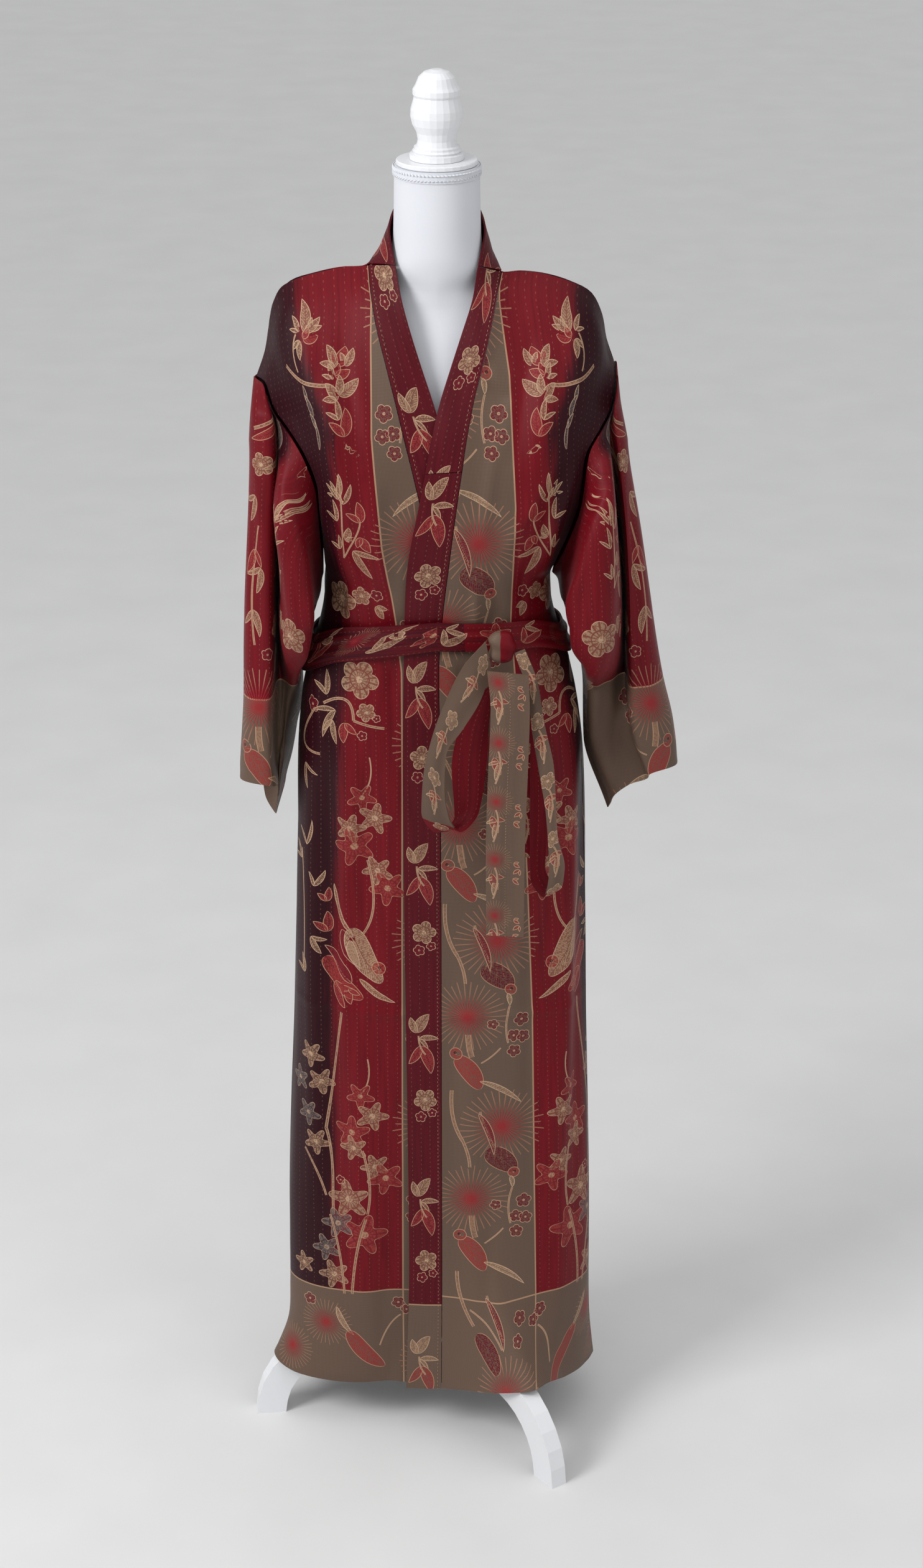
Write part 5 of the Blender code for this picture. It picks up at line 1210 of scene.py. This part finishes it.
# ---- the robe -------------------------------------------------------------------------------------------------------
STRIPE_EDGE = {
    "right": ((0.067, 0.116), (0.207, 0.116), (0.375, 0.1126), (0.593, 0.1087), (0.751, 0.1026), (0.905, 0.095),
              (1.10, 0.079), (1.25, 0.083), (1.388, 0.0757), (1.459, 0.065)),
    "left": ((0.067, -0.0498), (0.207, -0.0498), (0.70, -0.047), (0.905, -0.0453), (1.04, -0.0452), (1.10, -0.051),
             (1.13, -0.055), (1.20, -0.0653), (1.325, -0.0755), (1.437, -0.0755)),
}
PLUM_FROM = ((0.20, 0.085), (0.70, 0.085), (1.10, 0.060), (1.33, 0.040), (1.43, 0.085))
BORDER_TOP = 0.203
CUFF_TOP = {"left": 1.000, "right": 1.012}


def front_ground(grid, side):
    """Distance from the stripe's edge, height, distance past the red, and height above the border."""
    table = np.array(STRIPE_EDGE[side])
    ground = np.zeros(grid.shape[:2] + (4,))
    for i, row in enumerate(grid):
        inward = lengths(row[::-1])[::-1]
        edge = np.interp(row[len(row) // 2:, 2].mean(), table[:, 0], table[:, 1])
        order = np.argsort(row[:, 0])
        ground[i, :, 0] = inward - np.interp(edge, row[order, 0], inward[order])
    ground[..., 1] = grid[..., 2]
    ground[..., 2] = ground[..., 0] - np.interp(grid[..., 2], *np.array(PLUM_FROM).T)
    ground[..., 3] = grid[..., 2] - BORDER_TOP
    return ground


def stripe_figures(drawn, stripe=ON_STRIPE):
    for turn in range(-1, 5):
        drawn.motifs([m for m in stripe if BORDER_TOP < turn * STRIPE_REPEAT + m.path[1] / 1000 - 0.004],
                     (0.0, turn * STRIPE_REPEAT))


def make_fronts():
    cloth, _ = settings()
    for side, name, seed in (("right", "front_left", 3), ("left", "front_right", 8)):
        coarse = front_panel(side)
        rows, cols = int(1.45 / cloth.cell), int(0.215 / cloth.cell)
        grid = refine(coarse, rows, cols)
        sign = -1 if side == "right" else 1
        ground = front_ground(grid, side)
        edge = np.minimum(np.arange(cols), np.arange(cols)[::-1])[None, :] * cloth.cell
        ends = np.minimum(np.arange(rows) * 2, np.arange(rows)[::-1])[:, None] * cloth.cell
        belt = 1 - 0.75 * np.exp(-((grid[..., 2] - 1.068) / 0.030)**2)
        keep = ease(edge, -0.004, 0.016) * ease(ends, 0.0, 0.02) * belt
        grid = creased(grid, normals(grid, False, sign), FRONT_CREASES, cloth.crease, seed, keep)
        made, drawn = shell(f"cloth_{name}", grid + pole(), cloth.thickness, sign, ground)
        drawn.motifs(ON_RED)
        stripe_figures(drawn)
        drawn.motifs(ON_BORDER)
        drawn.keep(made.data)
        made.data.materials.append(finish_material("silk"))
        declare(made, [name])
        declare_sheet(made, grid)


def make_back():
    cloth, _ = settings()
    rows, cols = int(1.47 / cloth.cell), int(0.42 / cloth.cell)
    grid = refine(back_panel(), rows, cols)
    across = np.concatenate((np.zeros((rows, 1)), np.cumsum(np.linalg.norm(np.diff(grid, axis=1), axis=2), axis=1)), 1)
    middle = np.abs(across - across[:, -1:] / 2)
    ground = np.zeros(grid.shape[:2] + (4,))
    ground[..., 0] = middle - 0.092
    ground[..., 1] = grid[..., 2]
    ground[..., 2] = ground[..., 0] - 0.055
    ground[..., 3] = grid[..., 2] - BORDER_TOP
    edge = np.minimum(np.arange(cols), np.arange(cols)[::-1])[None, :] * cloth.cell
    ends = np.minimum(np.arange(rows) * 2, np.arange(rows)[::-1])[:, None] * cloth.cell
    belt = 1 - 0.75 * np.exp(-((grid[..., 2] - 1.050) / 0.030)**2)
    keep = ease(edge, -0.004, 0.016) * ease(ends, 0.0, 0.03) * belt
    grid = creased(grid, normals(grid, False, -1), BACK_CREASES, cloth.crease, 21, keep)
    made, drawn = shell("cloth_back", grid + pole(), cloth.thickness, -1, ground)
    drawn.motifs(ON_RED)
    stripe_figures(drawn)
    drawn.motifs(ON_BORDER)
    drawn.keep(made.data)
    made.data.materials.append(finish_material("silk"))
    declare(made, ["back"])
    declare_sheet(made, grid)


def make_sleeves():
    cloth, _ = settings()
    for side, name, seed in (("right", "sleeve_left", 5), ("left", "sleeve_right", 13)):
        rings = np.array(sleeve(side, per_side=8, between=12))
        sign = 1 if side == "right" else -1
        rows, cols = rings.shape[:2]
        around = np.concatenate((rings, rings[:, :1]), axis=1)
        run = np.concatenate((np.zeros((rows, 1)), np.cumsum(np.linalg.norm(np.diff(around, axis=1), axis=2), axis=1)), 1)
        ground = np.zeros(around.shape[:2] + (4,))
        ground[..., 0] = 0.004 + np.minimum(run, run[:, -1:] - run)
        ground[..., 1] = around[..., 2]
        ground[..., 2] = 0.030 - np.abs(ground[..., 0] - 0.080)
        ground[..., 3] = around[..., 2] - CUFF_TOP[side]
        out = normals(rings, True, sign)
        ends = np.minimum(np.arange(rows), np.arange(rows)[::-1])[:, None] * cloth.cell
        keep = ease(ends, 0.0, 0.03) * np.ones(cols)
        grid = creased(rings, out, SLEEVE_CREASES, cloth.crease, seed, keep)
        made, drawn = shell(f"cloth_{name}", grid + pole(), cloth.thickness, sign, ground, closed=True)
        drawn.motifs(ON_SLEEVE)
        drawn.motifs(ON_STRIPE, (0.110, 0.395))
        drawn.motifs(ON_RED, (0.120, -0.03))
        drawn.keep(made.data)
        made.data.materials.append(finish_material("silk"))
        made["closed_ring"] = True
        declare(made, [name])
        declare_sheet(made, grid)


def make_neckband():
    cloth, _ = settings()
    over = band("over_seam", "over_free", NECK_POINT["right"], FREE_TOP["right"])
    under = band("under_seam", "under_free", NECK_POINT["left"], FREE_TOP["left"])
    joint = len(LOWER) + 3
    lower, upper = over[:joint + 1].copy(), over[joint:].copy()
    upper[0, :, 2] += 2 * SEAM
    seam = np.concatenate((back_neck("left", 11), back_neck("right", 11)[-2::-1]))
    free = smooth_run((FREE_TOP["left"],) + NECK_TOP + (FREE_TOP["right"],), 21)
    seam[:, 2] += 5 * SEAM
    neck = band_grid(seam, free)
    for end, step in ((0, 1), (-1, -1)):
        away = neck[end + step] - neck[end]
        neck[end] += 2 * SEAM * away / np.linalg.norm(away, axis=1)[:, None]
    for name, coarse, base, on in (("neckband_left_lower", lower, 0.0, "cloth_front_left"),
                                   ("neckband_left_upper", upper, 0.013, "cloth_front_left"),
                                   ("neckband_right", under, 0.094, "cloth_front_right"),
                                   ("neckband_neck", neck, 0.0, "cloth_back")):
        run = np.linalg.norm(np.diff(coarse, axis=0), axis=2).mean(axis=1).sum()
        grid = refine(coarse, max(8, int(run / cloth.cell)), 11)
        out = normals(grid, False, 1)
        level = np.linspace(0, 1, 11)[None, :]
        rise = 0.0007 * np.sin(math.pi * level)**0.5 * np.ones((len(grid), 1))
        rise += 0.00045 * np.sin(grid[..., 2] * 61 + level * 5) * np.sin(math.pi * level)
        grid = grid + out * rise[..., None]
        ground = np.zeros(grid.shape[:2] + (4,))
        ground[..., 0] = 0.3 + level * 0.045
        height = grid[..., 2] if name != "neckband_neck" else 1.2 + lengths(grid[:, 5])[:, None] * np.ones(11)
        ground[..., 1] = height
        ground[..., 2] = 0.3
        ground[..., 3] = height - 0.190
        draw = np.stack((level * 0.045 * np.ones((len(grid), 1)), height), -1)
        made, drawn = shell(f"cloth_{name}", grid + pole(), cloth.folded, 1, ground, draw)
        for turn in range(-4, 4):
            drawn.motifs(ON_BAND, (0.0, base + turn * BAND_REPEAT))
        drawn.keep(made.data)
        made.data.materials.append(finish_material("silk_band"))
        declare(made, [name])
        declare_sheet(made, grid)


# ---- the belt -------------------------------------------------------------------------------------------------------
def make_belt():
    cloth, _ = settings()
    rings = np.array(belt_rings(count=192, levels=13))
    level = np.linspace(-1, 1, 13)[:, None]
    turn = np.linspace(0, 2 * math.pi, 192, endpoint=False)[None, :]
    out = normals(rings, True, 1)
    rise = 0.0010 * np.sin(level * 7.5 + 1.4 * np.sin(turn * 2 + 0.4)) + 0.0006 * np.sin(level * 13 + 3 * np.sin(turn))
    rings = rings + out * (rise * (1 - level**4) + 0.0006)[..., None]
    ground = np.zeros((13, 193, 4))
    around = np.concatenate((rings, rings[:, :1]), axis=1)
    run = np.concatenate((np.zeros((13, 1)), np.cumsum(np.linalg.norm(np.diff(around, axis=1), axis=2), axis=1)), 1)
    floral = around[..., 0] < 0.030
    ground[..., 0] = 0.05 + level * 0.022
    ground[..., 1] = run
    ground[..., 2] = np.where(floral, 0.002, -0.05)
    ground[..., 3] = 1.0
    draw = np.stack((np.repeat(level, 193, axis=1) * 0.023, run), -1)
    belt, drawn = shell("cloth_belt_round", rings + pole(), cloth.folded, 1, ground, draw, closed=True)
    for start in np.arange(0.02, 1.0, 0.047):
        kind = ("leaf", "fan", "coral_leaf", "coral_maple")[int(start * 1000) % 4]
        if STYLES[kind].number >= ROSETTES_FROM:
            drawn.motifs((Motif(kind, (0, 0), 15),), (0.004, start))
        else:
            drawn.motifs((Motif(kind, (-12, -14, 8, 14), 6), Motif("leaf", (14, -10, 6, 12), 4)), (0.0, start))
    drawn.keep(belt.data)
    belt.data.materials.append(finish_material("silk"))
    belt["closed_ring"] = True
    declare(belt, ["belt_round"])
    hung = []
    for name, rows, flips in (("belt_loop_left", LOOP_LEFT, 0.50), ("belt_loop_right", LOOP_RIGHT, 0.52),
                              ("belt_tail_wide", TAIL_WIDE, 2.0), ("belt_tail_narrow", TAIL_NARROW, 0.0)):
        count = max(9, int(lengths([(r.left_x, r.y, r.left_z) for r in rows])[-1] / cloth.cell))
        left = smooth_run([(r.left_x, r.y, r.left_z) for r in rows], count)
        right = smooth_run([(r.right_x, r.y, r.right_z) for r in rows], count)
        grid = band_grid(left, right, 13) - (0.0, cloth.folded, 0.0)
        out = normals(grid, False, -1)
        level, rise = np.linspace(-1, 1, 13)[None, :], np.linspace(0, 1, count)[:, None]
        narrow = np.linalg.norm(left - right, axis=1)[:, None]
        wave = 0.0016 * np.clip(narrow / 0.03, 0.4, 1.0) * np.cos(level * 2.6 + 2.2 * rise) * (1 - 0.5 * level**2)
        wave = wave * ease(np.minimum(rise, 1 - rise), 0.0, 0.12)
        if name == "belt_tail_wide":
            wave = wave - 0.0008 * np.exp(-(level / 0.07)**2)
        grid = grid + out * wave[..., None]
        run = lengths(grid[:, 6])[:, None] * np.ones(13)
        across = level * narrow / 2
        ground = np.zeros((count, 13, 4))
        ground[..., 0] = np.where(rise * np.ones(13) < flips, -0.05, 0.03) + across
        ground[..., 1] = run
        ground[..., 2] = -0.05
        ground[..., 3] = 1.0
        made, drawn = shell(f"cloth_{name}", grid + pole(), cloth.folded, -1, ground, np.stack((across, run), -1))
        tail = name == "belt_tail_wide"
        for start in np.arange(0.012, 0.9, 0.072):
            side = -0.012 if tail else 0.0
            drawn.motifs((Motif("fan" if tail else "flower", (0, 0), 16 if tail else 8),), (side, start))
            drawn.motifs((Motif("coral_leaf", (-4, 18, 4, 38), 5), Motif("leaf", (5, 22, -2, 46), 3.5),
                          Motif("stem", (0, 10, 3, 28, -2, 50), 1.8)), (side, start))
            if tail:
                drawn.motifs((Motif("coral_leaf", (10, 4, 17, 9), 2.4), Motif("coral_leaf", (17, 12, 9, 18), 2.4),
                              Motif("coral_leaf", (9, 24, 16, 31), 2.4)), (0.0, start))
        drawn.keep(made.data)
        made.data.materials.append(finish_material("silk"))
        declare(made, [name])
        declare_sheet(made, grid)
        hung.append(made)
    knot = make_knot()
    declare_sheet(belt, rings, [knot])


def make_knot():
    """The wrapped knot, crowned, with slanting folds round it."""
    rings = []
    for rise in np.linspace(-1, 1, 41):
        swell = max(0.02, 1 - abs(rise)**3.2)**0.42
        turn = np.linspace(0, 2 * math.pi, 64, endpoint=False)
        fold = 1 + 0.10 * np.sin(5.5 * rise + 1.5 * np.cos(turn)) * (1 - rise**4)
        x = KNOT.x + KNOT.half_width * swell * fold * np.cos(turn)
        y = KNOT.y + KNOT.half_depth * swell * fold * np.sin(turn)
        rings.append(np.stack((x, y, np.full(64, KNOT.z + rise * KNOT.half_height)), 1))
    made = loft("cloth_belt_knot", np.array(rings) + pole(), "silk")
    turned = np.array([[(p.co.x - pole()[0]), p.co.z] for p in made.data.vertices])
    corners = np.array([loop.vertex_index for loop in made.data.loops])
    at = turned[corners]
    left = at[:, 0] < KNOT.x - 0.002
    store(made.data, "ground", np.stack((np.where(left, -0.05, 0.05), at[:, 1], np.full(len(at), -0.05)), 1))
    store(made.data, "border", np.ones(len(at)))
    return declare(made, ["belt_knot"])


def loft(name, rings, finish):
    """A closed solid through rings of equal count, lowest first, each counter-clockwise from above."""
    count = rings.shape[1]
    faces = [tuple(range(count))[::-1], tuple(range((len(rings) - 1) * count, len(rings) * count))]
    for i in range(len(rings) - 1):
        for j in range(count):
            k = (j + 1) % count
            faces.append((i * count + j, i * count + k, (i + 1) * count + k, (i + 1) * count + j))
    mesh = bpy.data.meshes.new(name)
    mesh.from_pydata(rings.reshape(-1, 3).tolist(), [], faces)
    mesh.shade_smooth()
    mesh.set_sharp_from_angle(angle=math.radians(62))
    mesh.materials.append(finish_material(finish))
    made = bpy.data.objects.new(name, mesh)
    bpy.context.scene.collection.objects.link(made)
    return made


# ---- stitches and braid ---------------------------------------------------------------------------------------------
def row_group():
    """Geometry nodes: short round stitches laid end to end along a line."""
    tree = bpy.data.node_groups.new("stitch_row", "GeometryNodeTree")
    for label, kind in (("Line", "NodeSocketGeometry"), ("Spacing", "NodeSocketFloat"), ("Length", "NodeSocketFloat"),
                        ("Thickness", "NodeSocketFloat"), ("Slant", "NodeSocketFloat"), ("Finish", "NodeSocketMaterial")):
        tree.interface.new_socket(label, in_out="INPUT", socket_type=kind)
    tree.interface.new_socket("Geometry", in_out="OUTPUT", socket_type="NodeSocketGeometry")
    w = Wiring(tree)
    source, result = tree.nodes.new("NodeGroupInput").outputs, tree.nodes.new("NodeGroupOutput").inputs
    even = w.node("GeometryNodeResampleCurve", {"mode": "LENGTH"}, Curve=source["Line"], Length=source["Spacing"])
    radius = w.math("MULTIPLY", source["Thickness"], 0.5)
    bead = w.node("GeometryNodeMeshUVSphere", Segments=8, Rings=6, Radius=radius)
    stretch = w.math("DIVIDE", source["Length"], source["Thickness"])
    scale = w.node("ShaderNodeCombineXYZ", X=1.0, Y=1.0, Z=stretch)
    shaped = w.node("GeometryNodeTransform", Geometry=bead.outputs["Mesh"], Scale=scale.outputs[0])
    tangent = w.node("GeometryNodeInputTangent").outputs[0]
    aligned = w.node("FunctionNodeAlignRotationToVector", {"axis": "Z"}, Vector=tangent)
    slant = w.node("ShaderNodeCombineXYZ", X=source["Slant"])
    turned = w.node("FunctionNodeRotateRotation", {"rotation_space": "LOCAL"})
    w.plug(turned.inputs[0], aligned.outputs[0])
    w.plug(turned.inputs[1], slant.outputs[0])
    placed = w.node("GeometryNodeInstanceOnPoints", Points=even.outputs[0], Instance=shaped.outputs[0],
                    Rotation=turned.outputs[0])
    real = w.node("GeometryNodeRealizeInstances", Geometry=placed.outputs[0])
    done = w.node("GeometryNodeSetMaterial", Geometry=real.outputs[0], Material=source["Finish"])
    w.plug(result["Geometry"], done.outputs[0])
    return tree


def stitch_row(name, runs, spacing, length, thickness, slant, finish):
    """A mesh of stitches along runs of points."""
    curve = bpy.data.curves.new(name + "_line", "CURVE")
    curve.dimensions = "3D"
    for run, closed in runs:
        spline = curve.splines.new("POLY")
        spline.points.add(len(run) - 1)
        spline.points.foreach_set("co", np.concatenate((run, np.ones((len(run), 1))), 1).astype(np.float32).ravel())
        spline.use_cyclic_u = closed
    line = bpy.data.objects.new(name + "_line", curve)
    bpy.context.scene.collection.objects.link(line)
    modifier = line.modifiers.new("row", "NODES")
    tree = bpy.data.node_groups.get("stitch_row") or row_group()
    modifier.node_group = tree
    values = {"Spacing": spacing, "Length": length, "Thickness": thickness, "Slant": slant,
              "Finish": finish_material(finish)}
    for item in tree.interface.items_tree:
        if item.item_type == "SOCKET" and item.in_out == "INPUT" and item.name in values:
            modifier[item.identifier] = values[item.name]
    line.update_tag()
    graph = bpy.context.evaluated_depsgraph_get()
    mesh = bpy.data.meshes.new_from_object(line.evaluated_get(graph), depsgraph=graph)
    mesh.name = name
    mesh.shade_smooth()
    made = bpy.data.objects.new(name, mesh)
    bpy.context.scene.collection.objects.link(made)
    bpy.data.objects.remove(line)
    return made


def surface_run(name, column_at, rows, offset):
    """Points on a cloth piece's face along one of its columns."""
    mesh = bpy.data.objects[name].data
    points = np.zeros(len(mesh.vertices) * 3)
    mesh.vertices.foreach_get("co", points)
    outward = np.zeros(len(mesh.vertices) * 3)
    mesh.vertices.foreach_get("normal", outward)
    grid = points.reshape(-1, 3)[:len(mesh.vertices) // 2].reshape(rows, -1, 3)
    out = outward.reshape(-1, 3)[:len(mesh.vertices) // 2].reshape(rows, -1, 3)
    j = int(round(column_at * (grid.shape[1] - 1)))
    return grid[:, j] + offset * out[:, j]


def make_stitches():
    runs = []
    for name, where in (("cloth_neckband_left_lower", 0.94), ("cloth_neckband_left_upper", 0.94),
                        ("cloth_neckband_right", 0.06)):
        rows = len(bpy.data.objects[name].data.vertices) // 22
        runs.append((surface_run(name, where, rows, 0.00012), False))
    made = stitch_row("stitches_neckband", runs, 0.0052, 0.0026, 0.00045, 0.0, "thread")
    declare(made, [])
    rows = len(bpy.data.objects["cloth_belt_tail_wide"].data.vertices) // 26
    tail = surface_run("cloth_belt_tail_wide", 0.5, rows, 0.0001)
    made = stitch_row("stitches_belt_tail", [(tail, False)], 0.0036, 0.0020, 0.0005, 0.5, "thread")
    declare(made, [])


# ---- dress form, stand and studio -----------------------------------------------------------------------------------
def make_form():
    rings = []
    turn = np.linspace(0, 2 * math.pi, 96, endpoint=False)
    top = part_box("form_torso")[1].z
    for height in np.linspace(TORSO[0].height, top, 130):
        half, ahead, behind, power = (float(column(TORSO, k, [height])[0]) for k in Torso._fields[1:])
        across, deep = np.abs(np.cos(turn))**(2 / power), np.abs(np.sin(turn))**(2 / power)
        x = TORSO_X + half * np.sign(np.cos(turn)) * across
        y = np.where(np.sin(turn) < 0, -ahead, behind) * deep
        rings.append(np.stack((x, y, np.full(96, height)), 1))
    declare(loft("form_cover", np.array(rings) + pole(), "jersey"), ["form_torso"])
    low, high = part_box("neck_trim")
    turn = np.linspace(0, 2 * math.pi, 120, endpoint=False)
    radius = (high.x - low.x) / 2 - 0.0002
    runs = []
    for level in (0.25, 0.75):
        z = low.z + level * (high.z - low.z)
        runs.append((np.stack(((low.x + high.x) / 2 + radius * np.cos(turn), (low.y + high.y) / 2 + radius * np.sin(turn),
                               np.full(120, z)), 1), True))
    upper = stitch_row("braid_upper", runs[1:], 0.0042, 0.0068, 0.0021, 0.62, "jersey")
    lower = stitch_row("braid_lower", runs[:1], 0.0042, 0.0068, 0.0021, -0.62, "jersey")
    for made in (upper, lower):
        declare(made, [])
    assign(["neck_trim"], "jersey")


def assign(nodes, key):
    """Gives kept nodes a material."""
    for name in nodes:
        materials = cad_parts[name].data.materials
        materials.clear()
        materials.append(finish_material(key))


def make_stand():
    assign([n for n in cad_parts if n.startswith("stand_") or n in ("pole", "neck_disc", "finial")], "paint")


def make_stage():
    _, form = settings()
    steps_out = np.linspace(-24.0, 24.0, 25)
    points = [(x, y, 0.0) for x in steps_out for y in steps_out]
    n = len(steps_out)
    faces = [(i * n + j, (i + 1) * n + j, (i + 1) * n + j + 1, i * n + j + 1)
             for i in range(n - 1) for j in range(n - 1)]
    mesh = bpy.data.meshes.new("studio_floor")
    mesh.from_pydata(points, [], faces)
    mesh.shade_smooth()
    mesh.materials.append(finish_material("floor"))
    floor = bpy.data.objects.new("studio_floor", mesh)
    bpy.context.scene.collection.objects.link(floor)
    middle = pole()
    for name, place, turn, size, power in (("key", (-2.3, -1.7, 2.8), (55, 0, -53), 1.3, form.key),
                                           ("fill", (2.2, -1.9, 2.1), (60, 0, 48), 2.2, form.fill)):
        lamp = bpy.data.lights.new(name, "AREA")
        lamp.energy, lamp.size = power, size
        lit = bpy.data.objects.new(name, lamp)
        lit.location = tuple(middle + place)
        lit.rotation_euler = tuple(math.radians(a) for a in turn)
        bpy.context.scene.collection.objects.link(lit)
    sky = bpy.data.lights.new("ceiling", "SUN")
    sky.energy, sky.angle = 1.15, 1.5
    above = bpy.data.objects.new("ceiling", sky)
    above.location, above.rotation_euler = (0.0, 0.0, 5.0), (math.radians(14), 0.0, 0.0)
    bpy.context.scene.collection.objects.link(above)
    world = bpy.data.worlds.new("studio")
    world.use_nodes = True
    world.node_tree.nodes["Background"].inputs[0].default_value = (0.92, 0.925, 0.93, 1.0)
    world.node_tree.nodes["Background"].inputs[1].default_value = 0.40
    bpy.context.scene.world = world
    lens = bpy.data.cameras.new("camera")
    lens.lens, lens.sensor_fit, lens.sensor_height, lens.sensor_width = 72.84, "VERTICAL", 36.0, 36.0
    camera = bpy.data.objects.new("camera", lens)
    camera.location = tuple(middle + (0.0233, -3.4437, 2.3710))
    camera.rotation_euler = (math.radians(66.37), 0.0, 0.0)
    bpy.context.scene.collection.objects.link(camera)
    bpy.context.scene.camera = camera
    bpy.context.scene.view_settings.view_transform = "Standard"


# ---- operators and panel --------------------------------------------------------------------------------------------
def operator(label, idname, text, work):
    """An operator class that runs one making function."""
    def execute(self, context):
        work()
        return {"FINISHED"}
    return type(f"ROBE_OT_{idname}", (bpy.types.Operator,), {
        "__doc__": text, "bl_idname": f"robe.{idname}", "bl_label": label, "bl_options": {"REGISTER", "UNDO"},
        "execute": execute})


OPERATORS = (
    operator("Fronts", "fronts", "Makes the two fronts", make_fronts),
    operator("Back", "back", "Makes the back", make_back),
    operator("Sleeves", "sleeves", "Makes the two sleeves", make_sleeves),
    operator("Neckband", "neckband", "Makes the neckband's four lengths", make_neckband),
    operator("Belt", "belt", "Makes the belt, its loops, tails and knot", make_belt),
    operator("Stitches", "stitches", "Makes the rows of stitches", make_stitches),
    operator("Dress form", "form", "Makes the dress form's cover and braid", make_form),
    operator("Stand", "stand", "Paints the stand, disc and finial", make_stand),
    operator("Studio", "stage", "Makes the floor, lights and camera", make_stage),
)


class ROBE_PT_panel(bpy.types.Panel):
    """Lists the robe's operators in order."""
    bl_label = "Silk robe"
    bl_idname = "ROBE_PT_panel"
    bl_space_type = "VIEW_3D"
    bl_region_type = "UI"
    bl_category = "Robe"

    def draw(self, context):
        for group in (context.scene.robe_cloth, context.scene.robe_form):
            for key in group.__annotations__:
                self.layout.prop(group, key)
        for made in OPERATORS:
            self.layout.operator(made.bl_idname)


CLASSES = (RobeCloth, RobeForm) + OPERATORS + (ROBE_PT_panel,)


def register():
    for made in CLASSES:
        bpy.utils.register_class(made)
    bpy.types.Scene.robe_cloth = bpy.props.PointerProperty(type=RobeCloth)
    bpy.types.Scene.robe_form = bpy.props.PointerProperty(type=RobeForm)


def unregister():
    del bpy.types.Scene.robe_cloth, bpy.types.Scene.robe_form
    for made in reversed(CLASSES):
        bpy.utils.unregister_class(made)


def main():
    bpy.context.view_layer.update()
    register()
    for made in OPERATORS:
        getattr(bpy.ops.robe, made.bl_idname.split(".")[1])()


if __name__ == "__main__":
    main()
